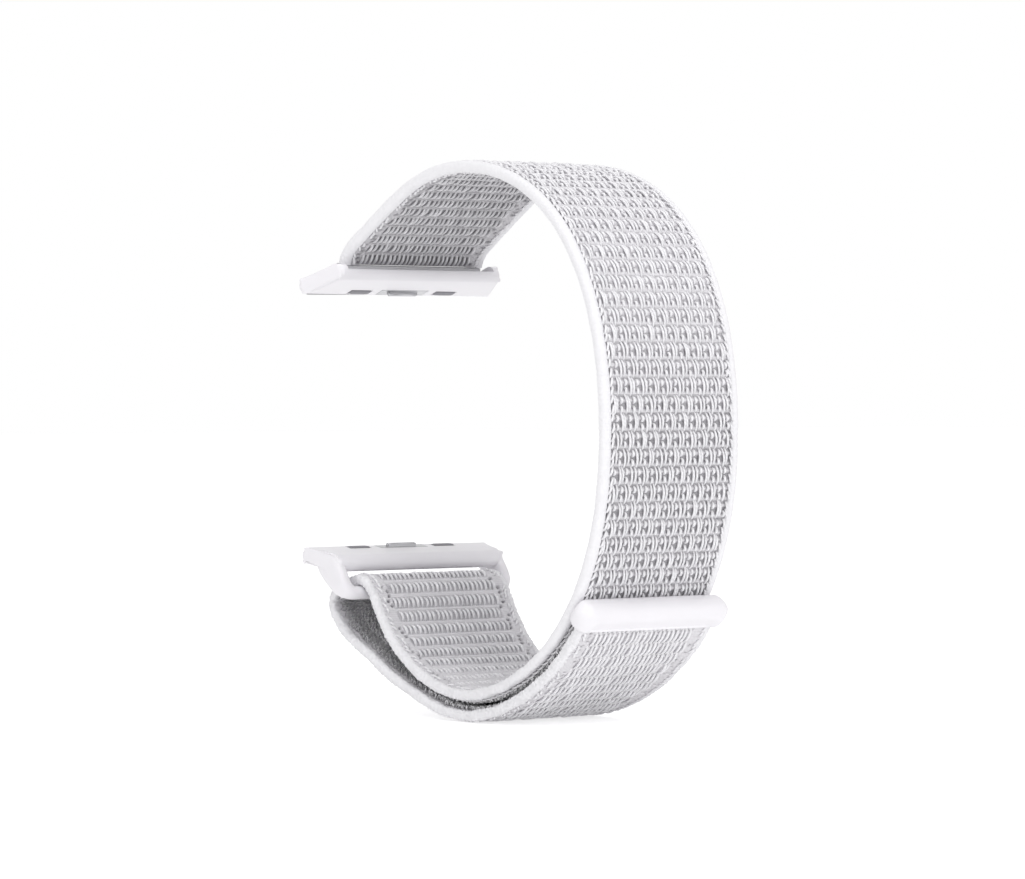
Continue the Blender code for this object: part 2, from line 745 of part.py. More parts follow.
def main():
    clear_scene()
    plastic = make_material("lug_moulding", (0.80, 0.79, 0.82), 0.38)
    tab_plastic = make_material("tab_moulding", (0.90, 0.89, 0.92), 0.45)
    fabric = make_material("nylon_weave", (0.72, 0.71, 0.74), 0.85)
    edging = make_material("nylon_selvedge", (0.86, 0.85, 0.88), 0.75)
    hooks = make_material("hook_tape", (0.70, 0.70, 0.72), 0.70)
    steel = make_material("stainless_steel", (0.62, 0.62, 0.63), 0.30, 1.0)
    rubber = make_material("silicone_pad", (0.55, 0.55, 0.57), 0.80)

    main_line = main_curve()
    tail_line = tail_curve(main_line)
    tail_end = lengths_along(tail_line)[-1]
    tip_start = tail_end - tip_length()

    upper = make_pivot("upper_lug_place", upper_frame())
    band = make_pivot("band_hinge", Matrix.Translation((0.0, *pin_place())), upper)
    ring = make_pivot("bar_hinge", Matrix.Translation((0.0, *bar_place())), band)
    lower = make_pivot("lower_lug_place", lower_frame(), ring)
    tail = make_pivot("tail_hinge", Matrix.Translation((0.0, *hinge_place(tail_line, TAIL_START_REACH))), band)
    tip = make_pivot("tip_hinge", Matrix.Translation((0.0, *hinge_place(tail_line, tip_start))), tail)

    add_upper_lug(plastic, upper)
    add_pin(steel, upper)
    add_lower_lug(plastic, lower)
    for prefix, pivot in (("upper", upper), ("lower", lower)):
        add_plunger(prefix, steel, pivot)
        add_spring(prefix, steel, pivot)
        add_retainer(prefix, steel, pivot)
        add_pads(prefix, rubber, pivot)

    add_end_loop(fabric, band)
    main_end = lengths_along(main_line)[-1]
    whole = np.vstack((main_line, tail_line[1:]))
    add_webbing("main", stretch_of(whole, 0.0, main_end + TAIL_START_REACH - JOINT_GAP / 2),
                fabric, edging, band)
    add_webbing("tail", stretch_of(tail_line, TAIL_START_REACH + JOINT_GAP / 2, tip_start - JOINT_GAP / 2),
                fabric, edging, tail)
    add_webbing("tip", stretch_of(tail_line, tip_start + JOINT_GAP / 2, tail_end), fabric, edging, tip)
    add_hook_patch(tail_line, tail_end, hooks, tip)
    add_tab(tail_line, tail_end, tab_plastic, tip)


main()
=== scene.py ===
"""Looks of a woven nylon wrist strap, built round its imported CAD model.

The cloth is one band. Its middle line, widths and thickness are read from the
rings of the CAD nodes. Each face is a ground cloth with its own relief, under
yarns that float over it as arched tubes. The lugs, the pin, the latches and the
pads keep their CAD solids. The end loop, hook tape and pull tab are new pieces.

Places are in metres. X runs across the strap; a place along the band is its
length from the upper lug, and a place out of it counts towards the loop face,
which is the face that the hooks grip.
"""

import json
import math

import bmesh
import bpy
import numpy as np
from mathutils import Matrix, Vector


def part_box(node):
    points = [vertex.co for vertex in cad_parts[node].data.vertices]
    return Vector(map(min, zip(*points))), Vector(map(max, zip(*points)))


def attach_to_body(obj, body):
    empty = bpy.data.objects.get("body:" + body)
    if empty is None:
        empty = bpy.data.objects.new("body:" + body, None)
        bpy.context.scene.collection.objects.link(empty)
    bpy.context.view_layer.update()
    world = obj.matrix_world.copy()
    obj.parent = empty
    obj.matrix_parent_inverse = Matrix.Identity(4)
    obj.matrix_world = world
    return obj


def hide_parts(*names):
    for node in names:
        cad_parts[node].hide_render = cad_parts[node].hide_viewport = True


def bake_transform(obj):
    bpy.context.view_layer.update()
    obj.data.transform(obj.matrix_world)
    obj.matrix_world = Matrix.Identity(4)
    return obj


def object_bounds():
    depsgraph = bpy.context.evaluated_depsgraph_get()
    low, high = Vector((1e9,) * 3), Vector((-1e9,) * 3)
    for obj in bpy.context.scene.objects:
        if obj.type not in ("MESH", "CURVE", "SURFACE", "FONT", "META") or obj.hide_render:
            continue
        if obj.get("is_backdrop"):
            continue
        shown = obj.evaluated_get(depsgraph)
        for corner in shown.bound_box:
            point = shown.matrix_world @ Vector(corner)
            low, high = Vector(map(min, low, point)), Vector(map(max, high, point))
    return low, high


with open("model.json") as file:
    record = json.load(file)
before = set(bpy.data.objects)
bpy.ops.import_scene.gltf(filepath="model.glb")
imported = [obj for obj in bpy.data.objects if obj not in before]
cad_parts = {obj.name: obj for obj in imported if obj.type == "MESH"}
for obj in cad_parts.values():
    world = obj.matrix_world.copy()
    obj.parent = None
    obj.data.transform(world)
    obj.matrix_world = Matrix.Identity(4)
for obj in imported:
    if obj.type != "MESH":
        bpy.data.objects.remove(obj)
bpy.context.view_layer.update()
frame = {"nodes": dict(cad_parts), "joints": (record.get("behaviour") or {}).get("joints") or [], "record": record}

bl_info = {
    "name": "Woven Wrist Strap",
    "version": (1, 0, 0),
    "blender": (4, 5, 0),
    "location": "3D View > Sidebar > Strap",
    "description": "Weave, selvedges, pile, mouldings and studio for a nylon wrist strap",
    "category": "Object",
}

MM = 0.001

# Reading the CAD rings
WELD = 0.002 * MM
FLAT_EDGE = math.radians(1)
END_EDGE = math.radians(78)
LINE_STEP = 0.05 * MM

# How far a bend spreads on each side of a joint of the cloth
BEND_REACH = 4.0 * MM


# Reading the frame

def joint(name):
    """Place of a joint of the CAD model."""
    return Vector(next(item["pos_m"] for item in frame["joints"] if item["name"] == name))


def is_end_face(face):
    """True for a face of a flat end: its edges are flush with it or turn square to it."""
    angles = [edge.calc_face_angle(0.0) for edge in face.edges]
    return all(angle < FLAT_EDGE or angle > END_EDGE for angle in angles)


def rings_of(node, start):
    """Rings of a lofted CAD node, from the end nearest to start to the other end."""
    bm = bmesh.new()
    bm.from_mesh(frame["nodes"][node].data)
    bmesh.ops.remove_doubles(bm, verts=bm.verts, dist=WELD)
    ends = [face for face in bm.faces if is_end_face(face)]
    first = min(ends, key=lambda face: (face.calc_center_median().yz - start.yz).length)
    plane, normal = first.verts[0].co.copy(), first.normal.copy()
    layer = {vert for face in ends for vert in face.verts if abs((vert.co - plane).dot(normal)) < WELD
             and (vert.co.yz - plane.yz).length < BEND_REACH}
    rings, seen = [], set()
    while layer:
        rings.append(np.array([vert.co for vert in layer]))
        seen |= layer
        layer = {edge.other_vert(vert) for vert in layer for edge in vert.link_edges} - seen
    bm.free()
    return rings


def spline(places, values, at):
    """Natural cubic curve through values, read at the given places."""
    gaps = np.diff(places)
    count = len(places)
    system = np.eye(count)
    right = np.zeros((count, values.shape[1]))
    for i in range(1, count - 1):
        system[i, i - 1:i + 2] = gaps[i - 1], 2 * (gaps[i - 1] + gaps[i]), gaps[i]
        right[i] = 6 * ((values[i + 1] - values[i]) / gaps[i] - (values[i] - values[i - 1]) / gaps[i - 1])
    bends = np.linalg.solve(system, right)
    i = np.clip(np.searchsorted(places, at, "right") - 1, 0, count - 2)
    after, before, gap = [part[:, None] for part in (at - places[i], places[i + 1] - at, gaps[i])]
    return ((bends[i] * before ** 3 + bends[i + 1] * after ** 3) / (6 * gap)
            + (values[i] / gap - bends[i] * gap / 6) * before
            + (values[i + 1] / gap - bends[i + 1] * gap / 6) * after)


class Band:
    """The whole band as the CAD nodes give it: middle line, side places and thickness."""

    def __init__(self):
        starts = (("main", joint("band_swing")), ("tail", joint("tail_lift")), ("tip", joint("tip_peel")))
        rings, first = [], {}
        for stretch, start in starts:
            first[stretch] = len(rings)
            rings += rings_of(stretch + "_right_edge", start)
        centres = np.array([ring[:, 1:].mean(axis=0) for ring in rings])
        chords = np.concatenate(([0.0], np.cumsum(np.linalg.norm(np.diff(centres, axis=0), axis=1))))
        fine = np.linspace(0.0, chords[-1], int(chords[-1] / LINE_STEP))
        line = spline(chords, centres, fine)
        steps = np.linalg.norm(np.diff(line, axis=0), axis=1)
        self.lengths = np.concatenate(([0.0], np.cumsum(steps)))
        self.line = line
        slopes = np.gradient(line, axis=0)
        self.slopes = slopes / np.linalg.norm(slopes, axis=1)[:, None]
        stations = np.interp(chords, fine, self.lengths)
        inner = [ring[:, 0].min() for ring in rings]
        outer = [ring[:, 0].max() for ring in rings]
        self.inner = np.interp(self.lengths, stations, inner)
        self.outer = np.interp(self.lengths, stations, outer)
        thick = [np.linalg.norm(ring[:, 1:] - centre, axis=1).max()
                 for ring, centre in zip(rings, centres)]
        self.half_thickness = float(np.median(thick))
        self.half_core = float(self.inner.min())
        self.length = float(self.lengths[-1])
        self.tail_start = float(stations[first["tail"]])
        self.tip_start = float(stations[first["tip"]])

    def read(self, table, at):
        """Values of a table at places along the band."""
        return np.interp(at, self.lengths, table)

    def frames(self, at):
        """Points, slopes and normals of the middle line, in Y and Z. Normals point to the loop face."""
        points = np.stack([self.read(self.line[:, i], at) for i in (0, 1)], axis=-1)
        slopes = np.stack([self.read(self.slopes[:, i], at) for i in (0, 1)], axis=-1)
        slopes /= np.linalg.norm(slopes, axis=-1)[..., None]
        normals = np.stack([-slopes[..., 1], slopes[..., 0]], axis=-1)
        return points, slopes, normals

    def place(self, across, at, out):
        """Points in the frame for places across, along and out of the band."""
        across, at, out = np.broadcast_arrays(across, at, out)
        points, _, normals = self.frames(at)
        flat = points + out[..., None] * normals
        return np.concatenate([across[..., None], flat], axis=-1)

    def nearest(self, y, z):
        """Length along the band whose middle line passes nearest to a point."""
        return float(self.lengths[int(np.argmin(np.hypot(self.line[:, 0] - y, self.line[:, 1] - z)))])


band = Band()


def vector_at(at):
    """Point of the middle line at a place along the band."""
    return Vector(band.place(np.array(0.0), np.array(float(at)), np.array(0.0)))


# Sizes and colours that a user would change

def srgb(text):
    """Linear colour from an sRGB hex value."""
    parts = [int(text[i:i + 2], 16) / 255 for i in (1, 3, 5)]
    return tuple(p / 12.92 if p <= 0.04045 else ((p + 0.055) / 1.055) ** 2.4 for p in parts)


def length(name, description, millimetres):
    """Setting of a length."""
    return bpy.props.FloatProperty(name=name, description=description, default=millimetres * MM,
                                   min=0.0, precision=5, unit="LENGTH")


def colour(name, description, text):
    """Setting of a colour, from its sRGB hex value."""
    return bpy.props.FloatVectorProperty(name=name, description=description, default=srgb(text),
                                         min=0.0, max=1.0, size=3, subtype="COLOR")


class StrapWeave(bpy.types.PropertyGroup):
    loop_row: length("Loop row", "Length of one row on the loop face", 2.33)
    loop_cell: length("Loop cell", "Width of one cell of the loop face", 2.15)
    wrist_row: length("Wrist row", "Length of one row on the wrist face", 2.25)
    wrist_column: length("Wrist column", "Distance between yarns on the wrist face", 0.79)
    yarn_radius: length("Yarn radius", "Radius of a yarn where it floats", 0.185)
    arch: length("Arch", "How high a float stands over the ground cloth", 0.40)
    ground_step: length("Ground step", "Spacing of the mesh of the ground cloth", 0.20)
    yarn: colour("Yarn", "Colour of the floating yarns", "#F9F8FB")
    ground: colour("Ground", "Colour of the ground cloth", "#E6E4E8")
    # Painted shade: the gap colour is mixed into the cloth where it lies deep, in place of the shade that falls
    # between the yarns.
    gap: colour("Gap", "Colour in the depth of the cloth", "#8E8C91")


class StrapEdges(bpy.types.PropertyGroup):
    rib: length("Rib", "Spacing of the ribs along a selvedge", 0.78)
    rib_depth: length("Rib depth", "Depth of the ribs", 0.035)
    stitch: length("Stitch", "Radius of the yarn that binds the selvedge", 0.15)
    fill: colour("Selvedge", "Colour of the selvedges", "#F0EFF2")


class StrapPile(bpy.types.PropertyGroup):
    height: length("Loop height", "Height of the pile loops", 0.42)
    spacing: length("Loop spacing", "Distance between pile loops", 0.62)
    hook: length("Hook height", "Height of the hooks", 0.34)
    hook_spacing: length("Hook spacing", "Distance between rows of hooks", 0.60)
    loops: colour("Loops", "Colour of the pile", "#F8F7FA")
    hooks: colour("Hooks", "Colour of the hook tape", "#E4E3E7")


class StrapMouldings(bpy.types.PropertyGroup):
    groove: length("Thumb groove", "Depth of the groove along the pull tab", 0.55)
    edge: length("Soft edge", "Radius of the moulded edges", 0.12)
    lug: colour("Lugs", "Colour of the two lugs", "#EDEBEF")
    tab: colour("Tab", "Colour of the pull tab", "#F0EEF2")
    steel: colour("Steel", "Colour of the latch plates", "#B9B9BC")
    pad: colour("Pads", "Colour of the friction pads", "#8C8B90")


class StrapStudio(bpy.types.PropertyGroup):
    camera: bpy.props.FloatVectorProperty(
        name="Camera", description="Place of the camera", default=(0.3972, 0.5088, -0.01465),
        size=3, subtype="TRANSLATION")
    heading: bpy.props.FloatProperty(
        name="Heading", description="Turn of the camera from the Y axis", default=math.radians(39.3),
        subtype="ANGLE")
    pitch: bpy.props.FloatProperty(
        name="Pitch", description="How far the camera looks down", default=0.0122, subtype="ANGLE")
    lens: bpy.props.FloatProperty(
        name="Lens", description="Focal length in millimetres on a 36 mm sensor", default=160.16)
    ambient: bpy.props.FloatProperty(
        name="Ambient", description="Strength of the surrounding light", default=0.50)
    top: bpy.props.FloatProperty(
        name="Top", description="Power of the lamp over the strap in watts", default=4.0, subtype="POWER")
    front: bpy.props.FloatProperty(
        name="Front", description="Power of the low lamp in front of the strap in watts", default=4.3,
        subtype="POWER")
    side: bpy.props.FloatProperty(
        name="Side", description="Power of the lamp beside the strap in watts", default=2.1,
        subtype="POWER")


# Meshes

def add_piece(name, points, faces, material, uv=None, cover=None, sharp=math.radians(70), flip=False):
    """Object from points and faces, with cloth coordinates in millimetres, and point values that mix the gap
    colour in: painted shade and light, with the yarns' own tone.
    """
    if flip:
        faces = [tuple(reversed(face)) for face in faces]
    mesh = bpy.data.meshes.new(name)
    mesh.from_pydata(np.asarray(points, float).tolist(), [], faces)
    mesh.validate()
    corners = np.zeros(len(mesh.loops), np.int32)
    mesh.loops.foreach_get("vertex_index", corners)
    if uv is not None:
        layer = mesh.uv_layers.new(name="cloth")
        layer.data.foreach_set("uv", (np.asarray(uv, np.float32) / MM)[corners].astype(np.float32).ravel())
    if cover is not None:
        attribute = mesh.attributes.new("cover", "FLOAT", "POINT")
        attribute.data.foreach_set("value", np.asarray(cover, np.float32))
    mesh.shade_smooth()
    mesh.set_sharp_from_angle(angle=sharp)
    mesh.materials.append(material)
    item = bpy.data.objects.new(name, mesh)
    bpy.context.scene.collection.objects.link(item)
    return item


def grid_faces(rows, columns, closed=False):
    """Quads of a grid whose points run column by column. closed joins the last column to the first."""
    index = np.arange(rows * columns).reshape(rows, columns)
    if closed:
        index = np.concatenate([index, index[:, :1]], axis=1)
    quads = np.stack([index[:-1, :-1], index[:-1, 1:], index[1:, 1:], index[1:, :-1]], axis=-1)
    return quads.reshape(-1, 4)


def tube_faces(rings, sides):
    """Faces of one closed tube: its wall and its two ends."""
    wall = grid_faces(rings, sides, closed=True).tolist()
    return wall + [tuple(range(sides - 1, -1, -1)), tuple(range((rings - 1) * sides, rings * sides))]


def circle(sides):
    """Cosines and sines of even turns round a circle."""
    turns = math.tau * np.arange(sides) / sides
    return np.cos(turns), np.sin(turns)


def smooth_step(low, high, value):
    """Share from 0 to 1 of the way from low to high, eased at both ends."""
    share = np.clip((value - low) / (high - low), 0.0, 1.0)
    return share * share * (3 - 2 * share)


def bump(value, middle, reach):
    """Smooth hill of height 1 round middle."""
    return np.cos(np.clip((value - middle) / reach, -1.0, 1.0) * math.pi / 2) ** 2


def add_tubes(name, paths, radius, side, material, sides=6, wide=1.15, cover=None):
    """Bundle of closed tubes in the cloth's own coordinates.

    paths is across, along and out, each with one row of stations for every tube.
    """
    across, along, out = np.broadcast_arrays(*paths)
    count, stations = along.shape
    radius = np.broadcast_to(radius, along.shape)
    run, rise = np.gradient(along, axis=1), np.gradient(out, axis=1)
    size = np.hypot(run, rise)
    c, s = circle(sides)
    points = band.place(across[..., None] + wide * radius[..., None] * c,
                        along[..., None] - (rise / size * radius)[..., None] * s,
                        side * (out[..., None] + (run / size * radius)[..., None] * s))
    quads = grid_faces(stations, sides, closed=True)
    block = stations * sides
    shifts = np.arange(count) * block
    faces = (quads[None] + shifts[:, None, None]).reshape(-1, 4).tolist()
    for shift in shifts.tolist():
        faces.append(tuple(range(shift + sides - 1, shift - 1, -1)))
        faces.append(tuple(range(shift + block - sides, shift + block)))
    girth = math.tau * float(np.mean(radius)) * np.arange(sides) / sides
    uv = np.stack(np.broadcast_arrays(across[..., None] + girth, along[..., None]), axis=-1).reshape(-1, 2)
    if cover is not None:
        cover = np.broadcast_to(np.broadcast_to(cover, along.shape)[..., None],
                                (count, stations, sides)).ravel()
    return add_piece(name, points.reshape(-1, 3), faces, material, uv, cover, math.radians(100), side > 0)


# Materials

NYLON_IOR = 1.53


def set_inputs(tree, node, inputs):
    """Values of a node's own sockets, and links where the value is another node's socket."""
    for name, value in inputs.items():
        if isinstance(value, bpy.types.NodeSocket):
            tree.links.new(value, node.inputs[name])
        else:
            node.inputs[name].default_value = value


def add_node(tree, kind, settings=None, inputs=None):
    """Shader node with its settings, its own values and its links."""
    node = tree.nodes.new(kind)
    for name, value in (settings or {}).items():
        setattr(node, name, value)
    set_inputs(tree, node, inputs or {})
    return node


def new_material(name):
    """Material with an empty Principled shader, and that shader."""
    material = bpy.data.materials.new(name)
    material.use_nodes = True
    return material, material.node_tree, material.node_tree.nodes["Principled BSDF"]


def opaque(rgb, share=1.0):
    """Opaque colour that is a share of another one."""
    return tuple(min(1.0, part * share) for part in rgb) + (1.0,)


WHITE = opaque((1.0, 1.0, 1.0))


def wave_scale(millimetres):
    """Scale that gives a wave texture this period on coordinates in millimetres."""
    return math.tau / (20 * millimetres)


def mottled(tree, place, size, detail, dark, light):
    """Noise with grains of one size, in place's units, and the colour it mixes from dark to light."""
    grains = add_node(tree, "ShaderNodeTexNoise",
                      inputs={"Vector": place, "Scale": 1 / size, "Detail": detail}).outputs["Fac"]
    tone = add_node(tree, "ShaderNodeMix", {"data_type": "RGBA"}, {0: grains, 6: dark, 7: light})
    return grains, tone.outputs[2]


def strength_by_ray(tree, lit, seen):
    """Strength that lights at one level, and shows at another to the camera, in gloss and through glass."""
    rays = add_node(tree, "ShaderNodeLightPath")
    mirrored = add_node(tree, "ShaderNodeMath", {"operation": "MAXIMUM"},
                        {0: rays.outputs["Is Camera Ray"], 1: rays.outputs["Is Glossy Ray"]})
    shown = add_node(tree, "ShaderNodeMath", {"operation": "MAXIMUM"},
                     {0: mirrored.outputs["Value"], 1: rays.outputs["Is Transmission Ray"]})
    strength = add_node(tree, "ShaderNodeMapRange", inputs={"Value": shown.outputs["Value"], "To Min": lit,
                                                            "To Max": seen})
    return strength.outputs["Result"]


def woven_nylon(name, yarn, gap, ply, ply_turn):
    """Nylon 6.6 filament yarn, woven. Bright matt yarns with a soft sheen, and painted shade in the gaps.

    The filaments are 0.02 mm thick. They are drawn as coarse as the plies, so that they show.
    """
    material, tree, shader = new_material(name)
    place = add_node(tree, "ShaderNodeUVMap", {"uv_map": "cloth"})
    cover = add_node(tree, "ShaderNodeAttribute", {"attribute_name": "cover"})
    patches = add_node(tree, "ShaderNodeTexNoise", inputs={"Vector": place.outputs["UV"], "Scale": 0.35,
                                                           "Detail": 3.0, "Roughness": 0.6})
    shade = add_node(tree, "ShaderNodeMapRange", inputs={"Value": patches.outputs["Fac"], "From Min": 0.3,
                                                         "From Max": 0.7, "To Min": 0.94, "To Max": 1.0})
    # Painted shade and light: a point value mixes the gap colour into the yarn colour. It is darker where the
    # cloth lies deep and on stretches in shade, and paler on lit stretches. It also holds the yarns' own uneven
    # tone.
    mixed = add_node(tree, "ShaderNodeMix", {"data_type": "RGBA"},
                     {0: cover.outputs["Fac"], 6: opaque(gap), 7: opaque(yarn)})
    lean = add_node(tree, "ShaderNodeMapping", inputs={"Vector": place.outputs["UV"],
                                                       "Rotation": (0.0, 0.0, ply_turn)})
    plies = add_node(tree, "ShaderNodeTexWave", {"wave_type": "BANDS", "bands_direction": "X"},
                     {"Vector": lean.outputs["Vector"], "Scale": wave_scale(ply),
                      "Distortion": 1.6, "Detail": 2.0, "Detail Scale": 1.5})
    ply_shade = add_node(tree, "ShaderNodeMapRange", inputs={"Value": plies.outputs["Fac"],
                                                             "To Min": 0.90, "To Max": 1.0})
    tones = add_node(tree, "ShaderNodeMath", {"operation": "MULTIPLY"},
                     {0: shade.outputs["Result"], 1: ply_shade.outputs["Result"]})
    toned = add_node(tree, "ShaderNodeMix", {"data_type": "RGBA", "blend_type": "MULTIPLY"},
                     {0: 1.0, 6: mixed.outputs[2], 7: tones.outputs["Value"]})
    fuzz = add_node(tree, "ShaderNodeTexNoise", inputs={"Vector": place.outputs["UV"], "Scale": 7.0,
                                                        "Detail": 4.0, "Roughness": 0.65})
    rough = add_node(tree, "ShaderNodeMath", {"operation": "ADD"},
                     {0: plies.outputs["Fac"], 1: fuzz.outputs["Fac"]})
    relief = add_node(tree, "ShaderNodeBump", inputs={"Height": rough.outputs["Value"], "Strength": 0.4,
                                                      "Distance": 0.05 * MM})
    set_inputs(tree, shader, {"Base Color": toned.outputs[2], "Normal": relief.outputs["Normal"],
                              "Roughness": 0.82, "Sheen Weight": 0.15, "Sheen Roughness": 0.5,
                              "IOR": NYLON_IOR})
    return material


def knitted_selvedge(name, fill):
    """Rolled selvedge of fine nylon yarn. Smooth, matt and a little ribbed across."""
    material, tree, shader = new_material(name)
    place = add_node(tree, "ShaderNodeUVMap", {"uv_map": "cloth"}).outputs["UV"]
    _, tone = mottled(tree, place, 1.25, 4.0, opaque(fill, 0.93), opaque(fill, 1.03))
    stitches = add_node(tree, "ShaderNodeTexWave", {"wave_type": "BANDS", "bands_direction": "Y"},
                        {"Vector": place, "Scale": wave_scale(0.26), "Distortion": 3.0, "Detail": 2.0})
    fuzz = add_node(tree, "ShaderNodeTexNoise", inputs={"Vector": place, "Scale": 6.0, "Detail": 5.0,
                                                        "Roughness": 0.7})
    rough = add_node(tree, "ShaderNodeMath", {"operation": "ADD"},
                     {0: stitches.outputs["Fac"], 1: fuzz.outputs["Fac"]})
    relief = add_node(tree, "ShaderNodeBump", inputs={"Height": rough.outputs["Value"], "Strength": 0.3,
                                                      "Distance": 0.04 * MM})
    set_inputs(tree, shader, {"Base Color": tone, "Normal": relief.outputs["Normal"], "Roughness": 0.75,
                              "Sheen Weight": 0.15, "IOR": NYLON_IOR})
    return material


def moulded_nylon(name, fill, roughness, grain):
    """Injection-moulded polyamide. Satin, with a fine spark-eroded grain and faint mottling."""
    material, tree, shader = new_material(name)
    place = add_node(tree, "ShaderNodeTexCoord").outputs["Object"]
    mottle, tone = mottled(tree, place, 6 * MM, 3.0, opaque(fill, 0.955), opaque(fill, 1.02))
    eroded = add_node(tree, "ShaderNodeTexNoise", inputs={"Vector": place, "Scale": 1 / (grain * MM),
                                                          "Detail": 2.0})
    worn = add_node(tree, "ShaderNodeMapRange", inputs={"Value": mottle, "From Min": 0.3, "From Max": 0.7,
                                                        "To Min": roughness - 0.04,
                                                        "To Max": roughness + 0.05})
    relief = add_node(tree, "ShaderNodeBump", inputs={"Height": eroded.outputs["Fac"], "Strength": 0.12,
                                                      "Distance": 0.01 * MM})
    set_inputs(tree, shader, {"Base Color": tone, "Normal": relief.outputs["Normal"],
                              "Roughness": worn.outputs["Result"], "IOR": NYLON_IOR})
    return material


def brushed_steel(name, fill):
    """Stainless steel sheet, ground along the strap's width. Fine parallel scratches."""
    material, tree, shader = new_material(name)
    place = add_node(tree, "ShaderNodeTexCoord").outputs["Object"]
    long, wide = 1 / (2 * MM), 1 / (0.05 * MM)
    stretch = add_node(tree, "ShaderNodeMapping", inputs={"Vector": place, "Scale": (long, wide, wide)})
    scratches, tone = mottled(tree, stretch.outputs["Vector"], 1.0, 3.0, opaque(fill, 0.8),
                              opaque(fill, 1.15))
    relief = add_node(tree, "ShaderNodeBump", inputs={"Height": scratches, "Strength": 0.2,
                                                      "Distance": 0.01 * MM})
    set_inputs(tree, shader, {"Base Color": tone, "Normal": relief.outputs["Normal"], "Metallic": 1.0,
                              "Roughness": 0.3})
    return material


def silicone_rubber(name, fill):
    """Moulded silicone rubber. Matt and slightly dusty."""
    material, tree, shader = new_material(name)
    place = add_node(tree, "ShaderNodeTexCoord").outputs["Object"]
    dust, tone = mottled(tree, place, 0.6 * MM, 5.0, opaque(fill, 0.9), opaque(fill, 1.12))
    relief = add_node(tree, "ShaderNodeBump", inputs={"Height": dust, "Strength": 0.2, "Distance": 0.02 * MM})
    set_inputs(tree, shader, {"Base Color": tone, "Normal": relief.outputs["Normal"], "Roughness": 0.7,
                              "IOR": 1.41})
    return material


def drawn_filament(name, fill, roughness):
    """Single drawn nylon filament, as in hooks and pile. Slightly glossy, uneven in tone."""
    material, tree, shader = new_material(name)
    place = add_node(tree, "ShaderNodeTexCoord").outputs["Object"]
    _, tone = mottled(tree, place, 0.9 * MM, 3.0, opaque(fill, 0.80), opaque(fill, 1.40))
    set_inputs(tree, shader, {"Base Color": tone, "Roughness": roughness, "Sheen Weight": 0.5,
                              "Sheen Roughness": 0.6, "IOR": NYLON_IOR})
    return material


def backdrop_paper(name):
    """Matt white backdrop paper. It shows as white and keeps the soft shadow under the strap."""
    material, tree, shader = new_material(name)
    place = add_node(tree, "ShaderNodeTexCoord").outputs["Object"]
    _, tone = mottled(tree, place, 2 * MM, 4.0, opaque(srgb("#F2F2F2")), opaque(srgb("#F6F6F6")))
    set_inputs(tree, shader, {"Base Color": tone, "Roughness": 0.95, "Emission Color": WHITE,
                              "Emission Strength": strength_by_ray(tree, 0.20, 0.55)})
    return material


# Relief of the two faces

def uneven(row, column, salt):
    """Same small random value from -1 to 1 for every point of one yarn in one row."""
    mixed = np.sin(row * 12.9898 + column * 78.233 + salt * 37.719) * 43758.5453
    return 2 * (mixed - np.floor(mixed)) - 1


BAR_AT = band.nearest(*joint("lower_lug_swing").yz)
SURFACE = band.half_thickness - 0.03 * MM
# How far the ground cloth reaches under the selvedges, and lies from the band's middle at its back
UNDER_EDGE = 0.30 * MM
BACK = 0.02 * MM
# How far the floats of each face stay clear of the selvedges
LOOP_MARGIN = 0.42 * MM
WRIST_MARGIN = 1.55 * MM
# Distances from the selvedge between which the border of the wrist face begins
BORDER = (1.90 * MM, 1.50 * MM)
# Share of a cell by which each row of the loop face is set off from the row before
LOOP_DRIFT = 0.37

# Places along the band between which its cloth changes, or its painted light and shade change
LUG_END = (6 * MM, 0.0)
# Painted light: over the top stretch the loop face's ground is painted paler, for light that falls from above.
PAINTED_LIGHT_TOP = (85 * MM, 60 * MM)
TERRY = (105 * MM, 125 * MM)
SHORT_FLOATS = (110 * MM, 140 * MM)
# Painted shade and light: the wrist face is painted darker along the upper run, which lies in shade inside the
# loop, and paler from here on along the lower run, which the light reaches.
PAINTED_LIGHT_LOWER = (115 * MM, 140 * MM)
LONG_FLOATS = (BAR_AT, BAR_AT + 12 * MM)
# Painted light: the wrist face is painted paler again where it turns past the bar.
PAINTED_LIGHT_TURN = (BAR_AT, BAR_AT + 8 * MM)
MAIN_PILE = (BAR_AT - 56 * MM, BAR_AT - 10 * MM)
# Half width of the main pile's clear middle, and width of the loops beside the tail's selvedges
PILE_CLEAR = 8.8 * MM
TERRY_WIDTH = 2.0 * MM

# Middle and reach of each stretch where a face is pressed or stretched flat
LOOP_FLAT = (BAR_AT + 4 * MM, 12 * MM)
WRIST_FLAT_LOW = (BAR_AT - 27 * MM, 15 * MM)
WRIST_FLAT_TOP = (40 * MM, 14 * MM)

# Heights are shares of the floats' arch. Wefts and slits have a height, a place and a reach
# Scale of ground heights over which the painted shade of the gaps fades towards the ground colour.
FULL_HEIGHT = 0.50
BURIED = 0.16
LOOP_LEVEL, LOOP_FLAT_RISE = 0.18, 0.2
LOOP_WEFTS = ((0.40, 0.28, 0.17), (0.34, 0.88, 0.15))
LOOP_SLITS = ((0.22, 0.385, 0.10), (0.10, 0.885, 0.22))
WRIST_LEVEL, WRIST_FLAT_RISE = 0.08, 0.45
WRIST_WEFTS = ((0.42, 0.90, 0.20),)
WRIST_WARP = 0.05
# Floats of the loop face: place across in cells, start and length in rows, rise and width
LOOP_FLOATS = ((0.51, -0.08, 1.18, 1.15, 0.86), (0.26, -0.04, 0.98, 1.00, 0.86))
# Knots of weft between the floats: start in rows, and rise
LOOP_KNOTS = ((0.10, 0.96), (0.57, 0.92))


